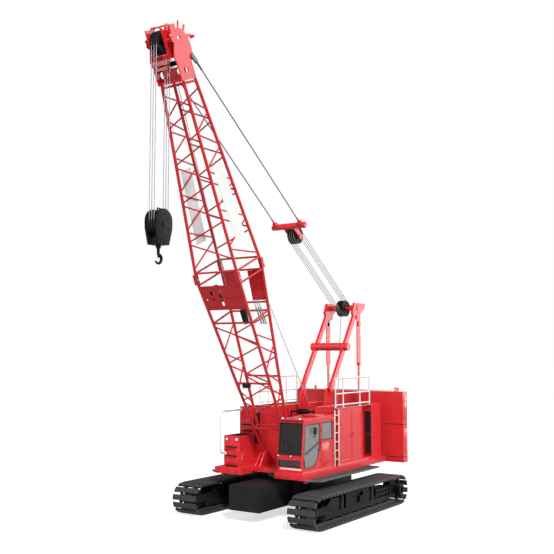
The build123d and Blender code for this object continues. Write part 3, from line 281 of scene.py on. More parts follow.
# the falls between boom head and hook block, and the boom hoist between gantry and bridle
reeve = {"headT": 12745, "headN": -300, "guideT": 12150, "blockZ": 8290, "pitchR": 270, "rope": 12,
         "ys": (-85.0, 0.0, 85.0)}
boomHoist = {"x": -3220, "z": 6500, "bridle": 3910, "pitchR": 276.3, "rope": 11,
             "ys": (-105.0, -35.0, 35.0, 105.0), "pendantT": 12210, "pendantN": 315, "pendantY": 465}
toMetres = Matrix.Scale(0.001, 4)


def turned(x, z, angle):
    return Matrix.Translation((x / 1000 + slewX, 0, z / 1000)) @ Matrix.Rotation(-angle, 4, "Y") @ toMetres


def onBoom(t, n):
    return footX + t * cos(boomAngle) - n * sin(boomAngle), footZ + t * sin(boomAngle) + n * cos(boomAngle)


pendX, pendZ = onBoom(boomHoist["pendantT"], boomHoist["pendantN"])
hoistAngle = atan2(pendZ - boomHoist["z"], pendX - boomHoist["x"])
upperPlace = turned(0, 0, 0)
boomPlace = turned(footX, footZ, boomAngle)
hoistPlace = turned(boomHoist["x"], boomHoist["z"], hoistAngle)


def roundEdges(bm, edges, offset, segments):
    bmesh.ops.bevel(bm, geom=edges, offset=offset, offset_type="OFFSET", segments=segments, profile=0.5,
                    affect="EDGES", material=-1)


def addBox(bm, low, high, edge=0.0, segments=2):
    size = Vector(high) - Vector(low)
    place = Matrix.Translation((Vector(low) + Vector(high)) / 2) @ Matrix.Diagonal((*size, 1))
    verts = bmesh.ops.create_cube(bm, size=1.0, matrix=place)["verts"]
    if edge:
        edges = {e for v in verts for e in v.link_edges}
        roundEdges(bm, list(edges), edge, segments)


def addTube(bm, a, b, radius, sides=12, endRadius=None):
    a, b = Vector(a), Vector(b)
    along = b - a
    place = Matrix.Translation((a + b) / 2) @ along.to_track_quat("Z", "Y").to_matrix().to_4x4()
    end = radius if endRadius is None else endRadius
    bmesh.ops.create_cone(bm, cap_ends=True, cap_tris=False, segments=sides, radius1=radius, radius2=end,
                          depth=along.length, matrix=place)


def addRing(bm, profile, centre, axis=(0, 1, 0), steps=40):
    # turns a closed profile of (radius, along) points round an axis
    axis = Vector(axis).normalized()
    side = axis.orthogonal().normalized()
    centre = Vector(centre)
    verts = [bm.verts.new(centre + side * r + axis * s) for r, s in profile]
    edges = [bm.edges.new((verts[k - 1], verts[k])) for k in range(len(verts))]
    bmesh.ops.spin(bm, geom=verts + edges, cent=centre, axis=axis, angle=2 * pi, steps=steps, use_merge=True)


def addPlate(bm, outline, y0, y1, edge=0.0):
    # an outline in x and z with rounded rims, from y0 to y1
    face = bm.faces.new([bm.verts.new((x, y0, z)) for x, z in outline])
    moved = bmesh.ops.extrude_face_region(bm, geom=[face])["geom"]
    verts = [g for g in moved if isinstance(g, bmesh.types.BMVert)]
    bmesh.ops.translate(bm, verts=verts, vec=(0, y1 - y0, 0))
    if edge:
        near = {e for v in verts for e in v.link_edges if all(p in verts for p in e.verts)}
        far = {e for e in bm.edges if all(abs(v.co.y - y0) < 0.01 for v in e.verts)}
        rims = [e for e in near | far if len(e.link_faces) == 2]
        roundEdges(bm, rims, edge, 2)


def addBall(bm, place, radius):
    at = Matrix.Translation(place)
    bmesh.ops.create_uvsphere(bm, u_segments=10, v_segments=6, radius=radius, matrix=at)


def addPipe(bm, points, radius, sides=10):
    # a bent pipe: a ball at each bend
    for k in range(len(points) - 1):
        addTube(bm, points[k], points[k + 1], radius, sides)
    for place in points[1:-1]:
        addBall(bm, place, radius)


def addBolt(bm, place, axis, radius, height):
    a = Vector(place)
    axis = Vector(axis).normalized()
    addTube(bm, a, a + axis * height * 0.3, radius * 1.5, 10)
    addTube(bm, a, a + axis * height, radius, 6, radius * 0.9)


def addDisc(bm, place, reach, radius, sides=24, end=None):
    # a disc, pin or cap that reaches along y
    x, y, z = place
    addTube(bm, place, (x, y + reach, z), radius, sides, end)


def addEye(bm, place, inner, outer, half, steps=20):
    addRing(bm, [(inner, -half), (outer, -half), (outer, half), (inner, half)], place, (0, 1, 0), steps)


def addSideBox(bm, side, low, high, edge=0.0, segments=2):
    # a box drawn on the left, placed on the left or the right
    y0, y1 = sorted((side * low[1], side * high[1]))
    addBox(bm, (low[0], y0, low[2]), (high[0], y1, high[2]), edge, segments)


def boltCircle(bm, centre, radius, count, side, size, height):
    # bolts round a centre on a face that looks along y
    x, y, z = centre
    for k in range(count):
        a = k * 2 * pi / count
        addBolt(bm, (x + radius * cos(a), y, z + radius * sin(a)), (0, side, 0), size, height)


def addRope(bm, a, b, radius, lay=160.0):
    # six strands laid round a core
    a, b = Vector(a), Vector(b)
    along = b - a
    steps = max(4, int(along.length / lay * 8))
    place = Matrix.Translation(a) @ along.to_track_quat("Z", "Y").to_matrix().to_4x4()
    verts = bmesh.ops.create_circle(bm, cap_ends=False, segments=12, radius=radius, matrix=place)["verts"]
    for v in verts[::2]:
        v.co = a + (v.co - a) * 0.8
    edges = list({e for v in verts for e in v.link_edges})
    made = bmesh.ops.spin(bm, geom=verts + edges, cent=a, axis=along.normalized(), dvec=along / steps,
                          angle=2 * pi * along.length / lay, steps=steps)
    last = [g for g in made["geom_last"] if isinstance(g, bmesh.types.BMEdge)]
    bmesh.ops.holes_fill(bm, edges=edges + last)


def addLoopRope(bm, centre, radius, rope, start, angle):
    # rope bent round a sheave's axis, which lies along y, from the direction start
    axis = Vector((0, 1, 0))
    start = Vector(start).normalized()
    centre = Vector(centre)
    tangent = axis.cross(start)
    place = Matrix.Translation(centre + start * radius) @ tangent.to_track_quat("Z", "Y").to_matrix().to_4x4()
    verts = bmesh.ops.create_circle(bm, cap_ends=False, segments=10, radius=rope, matrix=place)["verts"]
    edges = list({e for v in verts for e in v.link_edges})
    bmesh.ops.spin(bm, geom=verts + edges, cent=centre, axis=axis, angle=angle, steps=20)


placeOf = {"boom": boomPlace, "falls": boomPlace, "boom_hoist": hoistPlace, "bridle": hoistPlace}
usualSlot = {"redPaint": "red_paint", "boomPaintedShade": "red_paint", "blackPaint": "black_paint",
             "whitePaint": "white_paint", "greySteel": "grey_steel", "walkSteel": "grey_steel",
             "castSteel": "track_steel", "ropeSteel": "rope", "pendantSteel": "rope", "wovenSeat": "seat",
             "blackPlastic": "black_plastic", "lampLens": "lamp", "sideGlassPaintedReflection": "glass"}


def finishPiece(name, bm, mat, body, replaced=(), smooth=35, place=None, slotName=None):
    # a piece takes its place from its body unless one is given; a slot name is worked out from its material
    # or given, but is not used
    place = place or placeOf.get(body, upperPlace)
    slotName = slotName or usualSlot[mat.name]
    bmesh.ops.transform(bm, matrix=place, verts=bm.verts)
    bmesh.ops.recalc_face_normals(bm, faces=bm.faces)
    for f in bm.faces:
        f.smooth = True
    for e in bm.edges:
        if len(e.link_faces) != 2 or e.calc_face_angle(0) > radians(smooth):
            e.smooth = False
    mesh = bpy.data.meshes.new(name)
    bm.to_mesh(mesh)
    bm.free()
    mesh.materials.append(mat)
    obj = bpy.data.objects.new(name, mesh)
    scene.collection.objects.link(obj)
    if body:
        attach(obj, body)
    if replaced:
        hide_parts(*replaced)
    return obj


# tracks: every link has a pad with worn edges and end bars, two rails and a pin

track = {"y": 2090.0, "width": 875.0, "wheelX": 2560.0, "pitchR": 360.0, "shoes": 62, "depth": 110.0,
         "plate": 62.0, "gap": 0.19}
wheelZ = track["pitchR"] + track["depth"]
bend = pi * track["pitchR"]
straight = 2 * track["wheelX"]
loopLength = 2 * (straight + bend)
pitch = loopLength / track["shoes"]


def onLoop(s):
    s = s % loopLength
    if s < straight:
        return s - track["wheelX"], wheelZ - track["pitchR"]
    s -= straight
    if s < bend:
        turn = s / track["pitchR"] - pi / 2
        return track["wheelX"] + track["pitchR"] * cos(turn), wheelZ + track["pitchR"] * sin(turn)
    s -= bend
    if s < straight:
        return track["wheelX"] - s, wheelZ + track["pitchR"]
    turn = (s - straight) / track["pitchR"] + pi / 2
    return -track["wheelX"] + track["pitchR"] * cos(turn), wheelZ + track["pitchR"] * sin(turn)


bm = bmesh.new()
half = pitch * (1 - track["gap"]) / 2
inner = track["depth"] - track["plate"]
for side in (-1, 1):
    mid = side * track["y"]
    for k in range(track["shoes"]):
        ax, az = onLoop(k * pitch)
        bx, bz = onLoop((k + 1) * pitch)
        turn = atan2(bz - az, bx - ax)
        link = bmesh.new()
        addBox(link, (-half, -track["width"] / 2, -track["depth"]), (half, track["width"] / 2, -inner), 9, 1)
        # raised bars across the pad's inner face at both ends
        for way in (-1, 1):
            addSideBox(link, way, (-half + 12, 405, -inner - 1), (half - 12, 437, -inner + 16))
        for way in (-1, 1):
            addSideBox(link, way, (-pitch / 2 - 8, 150, -inner - 4), (pitch / 2 - 14, 215, 36), 8, 1)
        addDisc(link, (-pitch / 2, -222, 0), 444, 22, 8)
        place = Matrix.Translation(((ax + bx) / 2, mid, (az + bz) / 2)) @ Matrix.Rotation(-turn, 4, "Y")
        bmesh.ops.transform(link, matrix=place, verts=link.verts)
        mesh = bpy.data.meshes.new("link")
        link.to_mesh(mesh)
        link.free()
        bm.from_mesh(mesh)
        bpy.data.meshes.remove(mesh)
finishPiece("trackShoes", bm, castSteel, "lower", ["tracks"])

# roller caps, hubs and bolts on the track frames
bm = bmesh.new()
hubs = {"faceY": 2335, "rollers": 9, "span": 4000, "rollerZ": 238, "driveY": 2514}
for side in (-1, 1):
    out = side * hubs["faceY"]
    face = (0, side, 0)
    for k in range(hubs["rollers"]):
        x = (k / (hubs["rollers"] - 1) - 0.5) * hubs["span"]
        z = hubs["rollerZ"]
        addTube(bm, (x, out - side * 6, z), (x, out + side * 14, z), 42, 16, 36)
        for turn in (0, 2, 4):
            a = turn * pi / 3
            addBolt(bm, (x + 62 * cos(a), out, z + 30 * sin(a)), face, 9, 8)
    # final drive: stepped cover with a ring of bolts
    for r in (150, 92):
        addDisc(bm, (-track["wheelX"], side * 2470, wheelZ), side * 56, r, 32)
    boltCircle(bm, (-track["wheelX"], side * hubs["driveY"], wheelZ), 168, 14, side, 10, 10)
    addDisc(bm, (track["wheelX"], out, wheelZ), side * 34, 70)
    boltCircle(bm, (track["wheelX"], out + side * 20, wheelZ), 82, 8, side, 8, 10)
    # small bolts along the frame's side plates
    for k in range(14):
        x = -1950 + k * 300
        addBolt(bm, (x, out, 350), face, 8, 8)
finishPiece("trackHubs", bm, blackPaint, "lower", slotName="dark_steel")

# slewing ring bolts
bm = bmesh.new()
for k in range(48):
    a = k * 2 * pi / 48
    addBolt(bm, (842 * cos(a), 842 * sin(a), 1139), (0, 0, 1), 15, 18)
addRing(bm, [(870, -70), (884, -62), (884, -38), (870, -30)], (0, 0, 1140), (0, 0, 1), 64)
finishPiece("ringBolts", bm, greySteel, "lower", slotName="ring_steel")
print("tracks done")

# grooved sheaves


def grooveProfile(pitchR, ropeR, edge, width, bore):
    # a sheave's section as (radius, along) points
    w = width / 2
    floor = pitchR - ropeR
    points = [(bore, -w * 0.9), (bore + 40, -w * 0.9), (bore + 44, -w * 0.35), (floor - 45, -w * 0.35)]
    points += [(floor - 38, -w), (edge, -w), (edge, -w + 5), (floor + 14, -ropeR * 1.1)]
    points += [(floor + 3, -ropeR * 0.7), (floor, 0)]
    return points + [(r, -s) for r, s in reversed(points[:-1])]


def addSheaves(bm, x, z, ys, pitchR, ropeR, edge, width, bore):
    for y in ys:
        addRing(bm, grooveProfile(pitchR, ropeR, edge, width, bore), (x, y, z), steps=48)
        # six tapered pads between hub and rim on each face
        r = (bore + pitchR) / 2 + 8
        for k in range(6):
            px, pz = x + r * cos(k * pi / 3), z + r * sin(k * pi / 3)
            for side in (-1, 1):
                low, high = (px, y + side * width * 0.1, pz), (px, y + side * width * 0.3, pz)
                addTube(bm, low, high, pitchR * 0.14, 12, pitchR * 0.11)


headT, headN, guideT, blockZ = (reeve[key] for key in ("headT", "headN", "guideT", "blockZ"))
fallYs, fallR = reeve["ys"], reeve["pitchR"]
fallSheave = {"pitchR": fallR, "ropeR": reeve["rope"], "edge": 318, "width": 80}
bm = bmesh.new()
addSheaves(bm, headT, headN, fallYs, **fallSheave, bore=56)
for y in fallYs:
    addRing(bm, [(31, -22), (70, -22), (70, -16), (58, 0), (70, 16), (70, 22), (31, 22)], (guideT, y, 0))
addDisc(bm, (guideT, -110, 0), 220, 40, 20)
finishPiece("headSheaves", bm, blackPaint, "boom", ["head_sheaves"])

headX, headZ = onBoom(headT, headN)
bm = bmesh.new()
addSheaves(bm, headX, blockZ, fallYs, **fallSheave, bore=51)
finishPiece("blockSheaves", bm, blackPaint, "hook_block", ["block_sheaves"])

hoistYs, hoistR, bridleT = boomHoist["ys"], boomHoist["pitchR"], boomHoist["bridle"]
hoistSheave = {"pitchR": hoistR, "ropeR": boomHoist["rope"], "edge": 287, "width": 46}
bm = bmesh.new()
addSheaves(bm, boomHoist["x"], boomHoist["z"], hoistYs, **hoistSheave, bore=61)
finishPiece("gantrySheaves", bm, blackPaint, "upper", ["gantry_sheaves"])
bm = bmesh.new()
addSheaves(bm, bridleT, 0, hoistYs, **hoistSheave, bore=51)
finishPiece("bridleSheaves", bm, blackPaint, "bridle", ["bridle_sheaves"])

# rope bent over the sheaves: on the head's and the gantry's it turns with the rope that leaves them
bm = bmesh.new()
for y in fallYs:
    addLoopRope(bm, (headT, y, headN), fallR, reeve["rope"], (cos(boomAngle), 0, -sin(boomAngle)), -pi)
finishPiece("headWraps", bm, ropeSteel, "falls")
bm = bmesh.new()
for y in fallYs:
    addLoopRope(bm, (headX, y, blockZ), fallR, reeve["rope"], (1, 0, 0), pi)
finishPiece("blockWraps", bm, ropeSteel, "hook_block")
for name, t, angle, body in (("gantryWraps", 0, -pi, "boom_hoist"), ("bridleWraps", bridleT, pi, "bridle")):
    bm = bmesh.new()
    for y in hoistYs:
        addLoopRope(bm, (t, y, 0), hoistR, boomHoist["rope"], (0, 0, 1), angle)
    finishPiece(name, bm, ropeSteel, body)

# stranded ropes: the hook's falls and the boom hoist
bm = bmesh.new()
for y in fallYs:
    for x in (headX - fallR, headX + fallR):
        addRope(bm, (x, y, headZ), (x, y, blockZ), reeve["rope"])
falls = finishPiece("hookFalls", bm, ropeSteel, None, ["hoist_falls"], 50, place=upperPlace)
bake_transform(falls)
bm = bmesh.new()
for y in hoistYs:
    for n in (-hoistR, hoistR):
        addRope(bm, (0, y, n), (bridleT, y, n), boomHoist["rope"], 150)
hoist = finishPiece("hoistRopes", bm, ropeSteel, None, ["boom_hoist_ropes"], 50, place=hoistPlace)
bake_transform(hoist)
print("ropes and sheaves done")

# boom lacing: round tubes with a weld collar at each end

kinkT, kinkY, kinkN = 6120.0, 755.0, 620.0
buttEnds = ((0.0, 506.0, 0.0), (kinkT, kinkY, kinkN))
topEnds = ((kinkT, kinkY, kinkN), (11650.0, 380.0, 266.0))


def chordAt(t, ends):
    (t0, y0, n0), (t1, y1, n1) = ends
    share = (t - t0) / (t1 - t0)
    return y0 + (y1 - y0) * share, n0 + (n1 - n0) * share


def weldedTube(bm, a, b, radius):
    a, b = Vector(a), Vector(b)
    along = (b - a).normalized()
    addTube(bm, a, b, radius, 12)
    for end, way in ((a, along), (b, -along)):
        addTube(bm, end + way * 43, end + way * 62, radius + 7, 12, radius + 1)


def addLattice(bm, ends, stations, offset):
    for face in ("left", "right", "front", "rear"):
        shift = 0.0 if face in ("left", "right") else offset
        side = 1 if face in ("left", "front") else -1
        for k in range(len(stations) - 1):
            t0 = stations[k] + shift + 42
            t1 = stations[k + 1] + shift - 42
            y0, n0 = chordAt(t0, ends)
            y1, n1 = chordAt(t1, ends)
            flip = side * (1 if k % 2 == 0 else -1)
            if face in ("left", "right"):
                weldedTube(bm, (t0, side * y0, flip * n0), (t1, side * y1, -flip * n1), 23)
            else:
                n = -1 if face == "front" else 1
                weldedTube(bm, (t0, flip * y0, n * n0), (t1, -flip * y1, n * n1), 23)


def addCrossBars(bm, t, ends, faces):
    y, n = chordAt(t, ends)
    for face in faces:
        if face in ("left", "right"):
            side = 1 if face == "left" else -1
            weldedTube(bm, (t, side * y, -n), (t, side * y, n), 30)
        else:
            side = -1 if face == "front" else 1
            weldedTube(bm, (t, -y, side * n), (t, y, side * n), 30)


def spread(first, last, panels, shrink):
    steps = [shrink**k for k in range(panels)]
    scale = (last - first) / sum(steps)
    stations = [first]
    for step in steps:
        stations.append(stations[-1] + step * scale)
    return stations


allFaces = ("left", "right", "front", "rear")
bm = bmesh.new()
stations = spread(1050, 4350, 5, 1.0)
addLattice(bm, buttEnds, stations, 250)
addCrossBars(bm, 990, buttEnds, allFaces)
addCrossBars(bm, stations[2] + 250, buttEnds, ("front", "rear"))
addCrossBars(bm, 4680, buttEnds, allFaces)
addCrossBars(bm, 4940, buttEnds, ("rear",))
addCrossBars(bm, 5936, buttEnds, ("rear", "left", "right"))
finishPiece("buttLacing", bm, boomPaintedShade, "boom", ["boom_butt_lacing"])
bm = bmesh.new()
addLattice(bm, topEnds, spread(6400, 11200, 9, 0.975), 220)
addCrossBars(bm, 6310, topEnds, allFaces)
addCrossBars(bm, 11580, topEnds, allFaces)
finishPiece("topLacing", bm, boomPaintedShade, "boom", ["boom_top_lacing"])

# round sleeves over the chords, and the connection pins at the kink
bm = bmesh.new()
for ySide in (-1, 1):
    for nSide in (-1, 1):
        for t0, t1, ends in ((60, 5960, buttEnds), (6275, 11640, topEnds)):
            y0, n0 = chordAt(t0, ends)
            y1, n1 = chordAt(t1, ends)
            addTube(bm, (t0, ySide * y0, nSide * n0), (t1, ySide * y1, nSide * n1), 46, 20)
finishPiece("chordTubes", bm, boomPaintedShade, "boom")
bm = bmesh.new()
for ySide in (-1, 1):
    for nSide in (-1, 1):
        y, n = ySide * kinkY, nSide * kinkN
        addDisc(bm, (kinkT, y - 66, n), 132, 26, 20)
        for end in (-1, 1):
            addDisc(bm, (kinkT, y + end * 60, n), end * 10, 36, 20, 32)
            addRing(bm, [(5, -3), (9, 0), (5, 3)], (kinkT + 30, y + end * 74, n), (0, 0, 1), 12)
finishPiece("kinkPins", bm, greySteel, "boom")

# foot pins with their keepers
bm = bmesh.new()
for side in (-1, 1):
    for y in (438, 610):
        out = 1 if y > 500 else -1
        a = side * y
        addDisc(bm, (footX, a, footZ), side * out * 16, 62, 24, 56)
        addBox(bm, (905, min(a, a + side * out * 10), 1672), (1035, max(a, a + side * out * 10), 1700), 3)
finishPiece("footPins", bm, greySteel, "upper")

# head: a bolted cap on each end of the sheave pin, and bolts on the plates
headCap = {"y": 436, "r": 92, "boltR": 74}
bm = bmesh.new()
for side in (-1, 1):
    out = side * headCap["y"]
    addDisc(bm, (headT, out, headN), side * 14, headCap["r"], 28, headCap["r"] - 5)
    boltCircle(bm, (headT, out + side * 12, headN), headCap["boltR"], 8, side, 8, 9)
    for t, n in ((11720, -180), (11720, 120), (11900, -300), (12060, -330), (12900, 60), (12960, -120)):
        addBolt(bm, (t, out, n), (0, side, 0), 12, 10)
finishPiece("headBolts", bm, redPaint, "boom")

# windings on a drum, and the rope from the bay's drum up over the guide sheaves


def windings(bm, x, z, y0, y1, coreR, ropeR):
    count = int((y1 - y0) / (2 * ropeR))
    step = (y1 - y0) / count
    points = [(coreR - 15, y0)]
    for k in range(count):
        y = y0 + k * step
        for share, up in ((0.12, 0.45), (0.3, 0.9), (0.5, 1.0), (0.7, 0.9), (0.88, 0.45)):
            points.append((coreR + 2 * ropeR * up, y + share * step))
    points.append((coreR - 15, y1))
    addRing(bm, points, (x, 0, z))


bayDrum = {"t": 5480, "n": -170, "y0": -525, "y1": -95, "core": 205, "rope": 12}
bm = bmesh.new()
windings(bm, bayDrum["t"], bayDrum["n"], bayDrum["y0"], bayDrum["y1"], bayDrum["core"], bayDrum["rope"])
addRope(bm, (bayDrum["t"] + 30, -300, bayDrum["n"] + 232), (guideT - 8, -85, 70), 11, 150)
addRope(bm, (guideT + 20, -85, 66), (headT - 150, -85, headN + 240), 11, 150)
finishPiece("boomRope", bm, ropeSteel, "boom")
# the three drums behind the boom's foot, as x, z, core radius and flange radius
drums = ((-560, 1990, 222, 330), (-1480, 2160, 242, 360), (-2450, 2030, 222, 330))
bm = bmesh.new()
for x, z, core, r in drums:
    windings(bm, x, z, -410, 410, core, 13)
addRope(bm, (-2686, 0, 2080), (-3060, 0, 6270), 11, 150)
finishPiece("drumRope", bm, ropeSteel, "upper")
bm = bmesh.new()
for x, z, core, r in drums:
    rim = [(r - 6, -34), (r + 4, -30), (r + 4, -2), (r - 6, 1), (r - 22, 1), (r - 22, -34)]
    for side in (-1, 1):
        boltCircle(bm, (x, side * 450, z), r - 40, 12, side, 9, 9)
        addRing(bm, rim, (x, 450 if side > 0 else -416, z))
finishPiece("drumFlanges", bm, blackPaint, "upper")
# the hoist rope up to the boom: one straight tube, baked in place with no body
bm = bmesh.new()
low = Vector((drums[1][0] + 190, 160, drums[1][1] + 180))
x, z = onBoom(5800, 700)
high = Vector((x, 450, z))
addTube(bm, low, high, 11, 12)
lead = finishPiece("leadRope", bm, ropeSteel, None, place=upperPlace)
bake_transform(lead)
bm = bmesh.new()
# its guide on the boom's rear
for y in (405, 495):
    addBox(bm, (5700, y - 8, 560), (5900, y + 8, 760), 6)
addTube(bm, (5800, 400, 700), (5800, 500, 700), 22, 16)
groove = [(24, -26), (62, -26), (62, -18), (50, 0), (62, 18), (62, 26), (24, 26)]
addRing(bm, groove, (5800, 450, 700), (0, 1, 0), 32)
finishPiece("leadGuide", bm, blackPaint, "boom")
bm = bmesh.new()
# a roller on the lower cross bar, and one that lies below the winch bay
addDisc(bm, (2560, -330, -300), 180, 74)
for y in (-340, -140):
    addBox(bm, (2490, y - 7, -370), (2640, y + 7, -225), 5)
addTube(bm, (4560, 250, -150), (4960, 250, -150), 92, 24, 104)
addTube(bm, (4520, 250, -150), (4560, 250, -150), 60, 24, 92)
finishPiece("bayRoller", bm, blackPaint, "boom")
bm = bmesh.new()
# struts beside it
for y in (430, 520, 600):
    addTube(bm, (4300, y, 330), (4840, y - 60, 330), 24, 16)
    addTube(bm, (4840, y - 60, 330), (5090, y - 90, 330), 13, 16)
finishPiece("bayStruts", bm, greySteel, "boom")
bm = bmesh.new()
# stiffeners, boss rings and bolts on the bay's plates
for t in (5190, 5500, 5830):
    y, n = chordAt(t, buttEnds)
    addBox(bm, (t - 8, -y + 60, -n - 24), (t + 8, y - 60, -n - 9), 4)
for t, y, r in ((5650, -380, 78), (5470, -600, 46), (5460, -370, 46), (5280, -540, 46)):
    n = chordAt(t, buttEnds)[1]
    addRing(bm, [(r - 8, -12), (r + 14, -12), (r + 14, 2), (r - 8, 2)], (t, y, -n - 4), (0, 0, 1), 24)
for k in range(6):
    for y in (260, 380, 500, 620):
        n = chordAt(5080 + 140 * k, buttEnds)[1]
        addBolt(bm, (5080 + 140 * k, y, n + 9), (0, 0, 1), 10, 8)
finishPiece("bayFittings", bm, boomPaintedShade, "boom")
print("boom done")

# hook block: rounded cheeks, cross head, rope eye, pin caps and bolts
cheek = {"bottom": 7745, "lowHalf": 205, "shoulder": 8180, "highHalf": 322, "roundZ": 8370, "inY": 136,
         "outY": 204}
outline = [(cheek["lowHalf"], cheek["bottom"]), (cheek["highHalf"], cheek["shoulder"])]
outline += [(326 * cos(k * pi / 14), cheek["roundZ"] + 325 * sin(k * pi / 14)) for k in range(15)]
outline += [(-cheek["highHalf"], cheek["shoulder"]), (-cheek["lowHalf"], cheek["bottom"])]
for side, name in ((-1, "right"), (1, "left")):
    bm = bmesh.new()
    y0, y1 = sorted((side * cheek["inY"], side * cheek["outY"]))
    addPlate(bm, [(headX + x, z) for x, z in outline], y0, y1, 12)
    finishPiece("blockCheek_" + name, bm, blackPaint, "hook_block", ["hook_block"])
bm = bmesh.new()
addBox(bm, (headX - 178, -139, 7742), (headX + 178, 139, 7868), 14)
addDisc(bm, (headX, -139, blockZ), 278, 50)
addPipe(bm, [(headX + x, 0, z) for x, z in ((-60, 8640), (-60, 8716), (60, 8716), (60, 8640))], 18, 12)
for side in (-1, 1):
    y = side * 205
    addDisc(bm, (headX, y, blockZ), side * 22, 82, 32, 76)
    addDisc(bm, (headX, y + side * 20, blockZ), side * 14, 44, 24, 40)
    for k in range(8):
        a = k * pi / 4 + 0.2
        addBolt(bm, (headX + 190 * cos(a), y, 8240 + 330 * sin(a)), (0, side, 0), 16, 12)
finishPiece("blockBolts", bm, blackPaint, "hook_block")

# the hook is bent round its throat and thins towards its point
hookZ = 7380
bm = bmesh.new()
rings = []
for k in range(33):
    a = radians(92 + 238 * k / 32)
    share = k / 32
    r = 122 - 4 * share
    wide = 43 - 20 * share**2 if share > 0.25 else 34 + 36 * share
    place = Matrix.Translation((headX + r * cos(a), 0, hookZ + r * sin(a)))
    out = Vector((cos(a), 0, sin(a)))
    place = place @ Matrix((out, Vector((0, 1, 0)), out.cross(Vector((0, 1, 0))))).transposed().to_4x4()
    verts = bmesh.ops.create_circle(bm, cap_ends=False, segments=16, radius=wide, matrix=place)["verts"]
    rings.append(list({e for v in verts for e in v.link_edges}))
for k in range(len(rings) - 1):
    bmesh.ops.bridge_loops(bm, edges=rings[k] + rings[k + 1])
bmesh.ops.holes_fill(bm, edges=rings[0] + rings[-1])
addTube(bm, (headX - 4, 0, hookZ + 100), (headX, 0, 7742), 40, 20, 44)
addTube(bm, (headX, 0, 7680), (headX, 0, 7738), 74, 6)
addTube(bm, (headX, 0, 7655), (headX, 0, 7682), 58, 24)
# latch
addBox(bm, (headX - 30, -34, hookZ + 84), (headX + 6, 34, hookZ + 112), 6)
addBox(bm, (headX - 14, -26, hookZ + 30), (headX + 4, 26, hookZ + 98), 3)
finishPiece("hookForged", bm, blackPaint, "hook_block", ["hook"], 40)

# bridle: pin caps, bolts and the sockets of the pendants
bm = bmesh.new()
for side in (-1, 1):
    y = side * boomHoist["pendantY"]
    for t, capY, r in ((bridleT, 195, 66), (4510, 525, 44)):
        addDisc(bm, (t, side * capY, 0), side * 16, r, 24, r - 4)
    for k in range(5):
        addBolt(bm, (3800 + k * 140, side * 195, 62), (0, side, 0), 10, 9)
        addBolt(bm, (3800 + k * 140, side * 195, -62), (0, side, 0), 10, 9)
    addTube(bm, (4512, y, 0), (4700, y, 0), 34, 20, 26)
    addTube(bm, (4700, y, 0), (4760, y, 0), 26, 20, 19)
finishPiece("bridlePins", bm, redPaint, "bridle")
pendLine = hypot(pendX - boomHoist["x"], pendZ - boomHoist["z"])
bm = bmesh.new()
for y in (-boomHoist["pendantY"], boomHoist["pendantY"]):
    addRope(bm, (4700, y, 0), (pendLine - 190, y, 0), 17.6, 240)
    addTube(bm, (pendLine - 480, y, 0), (pendLine - 190, y, 0), 24, 20, 32)
finishPiece("pendantRopes", bm, pendantSteel, "bridle")
print("hook and bridle done")

# cab: seals round the glass, wiper, grips, mirrors, lamps and edges


def frontX(z):
    if z < 1860:
        return 1970 - 40 * (1860 - z) / 430
    return 1970 - (z - 1860) * 110 / 1020


def addFrame(bm, corners, out, thick, wide):
    # a strip that follows a closed outline, set on a face with the normal out
    count = len(corners)
    pts = [Vector(c) for c in corners]
    out = Vector(out).normalized()
    for k in range(count):
        a, b = pts[k], pts[(k + 1) % count]
        along = (b - a).normalized()
        across = along.cross(out)
        verts = []
        for place in (a - along * wide / 2, b + along * wide / 2):
            for s, h in ((-wide / 2, 0), (wide / 2, 0), (wide / 2 - 3, thick), (-wide / 2 + 3, thick)):
                verts.append(bm.verts.new(place + across * s + out * h))
        for quad in ((0, 1, 2, 3), (7, 6, 5, 4), (0, 4, 5, 1), (1, 5, 6, 2), (2, 6, 7, 3), (3, 7, 4, 0)):
            bm.faces.new([verts[q] for q in quad])


cab = {"sideY": 1493, "frontPanes": ((1940, 2865, 1465, 0.108, 7, 26), (1595, 1775, 1425, -0.09, 6, 22))}
bm = bmesh.new()
for z0, z1, y, lean, thick, wide in cab["frontPanes"]:
    corners = [(frontX(z0), 668, z0), (frontX(z0), y, z0), (frontX(z1), y, z1), (frontX(z1), 668, z1)]
    addFrame(bm, corners, (1, 0, lean), thick, wide)
addFrame(bm, [(590, 640, 2030), (1770, 640, 2030), (1770, 640, 2820), (590, 640, 2820)], (0, -1, 0), 6, 24)
addFrame(bm, [(90, 760, 2030), (90, 1373, 2030), (90, 1373, 2820), (90, 760, 2820)], (-1, 0, 0), 6, 24)
sideY = cab["sideY"]
corners = [(200, sideY, 2300), (810, sideY, 2300), (810, sideY, 2820), (200, sideY, 2820)]
addFrame(bm, corners, (0, 1, 0), 6, 24)
# wiper on the windscreen
addTube(bm, (frontX(1930) + 12, 1060, 1925), (frontX(1930) + 12, 1060, 1945), 22, 16)
addTube(bm, (frontX(1930) + 16, 1060, 1935), (frontX(2420) + 20, 900, 2420), 8, 8)
addTube(bm, (frontX(2120) + 10, 980, 2120), (frontX(2720) + 10, 850, 2720), 9, 8)
# grip by the door
addPipe(bm, [(1850, 1496, 1560), (1850, 1521, 1600), (1850, 1521, 1780), (1850, 1496, 1810)], 9)
finishPiece("cabSeals", bm, blackPlastic, "upper")

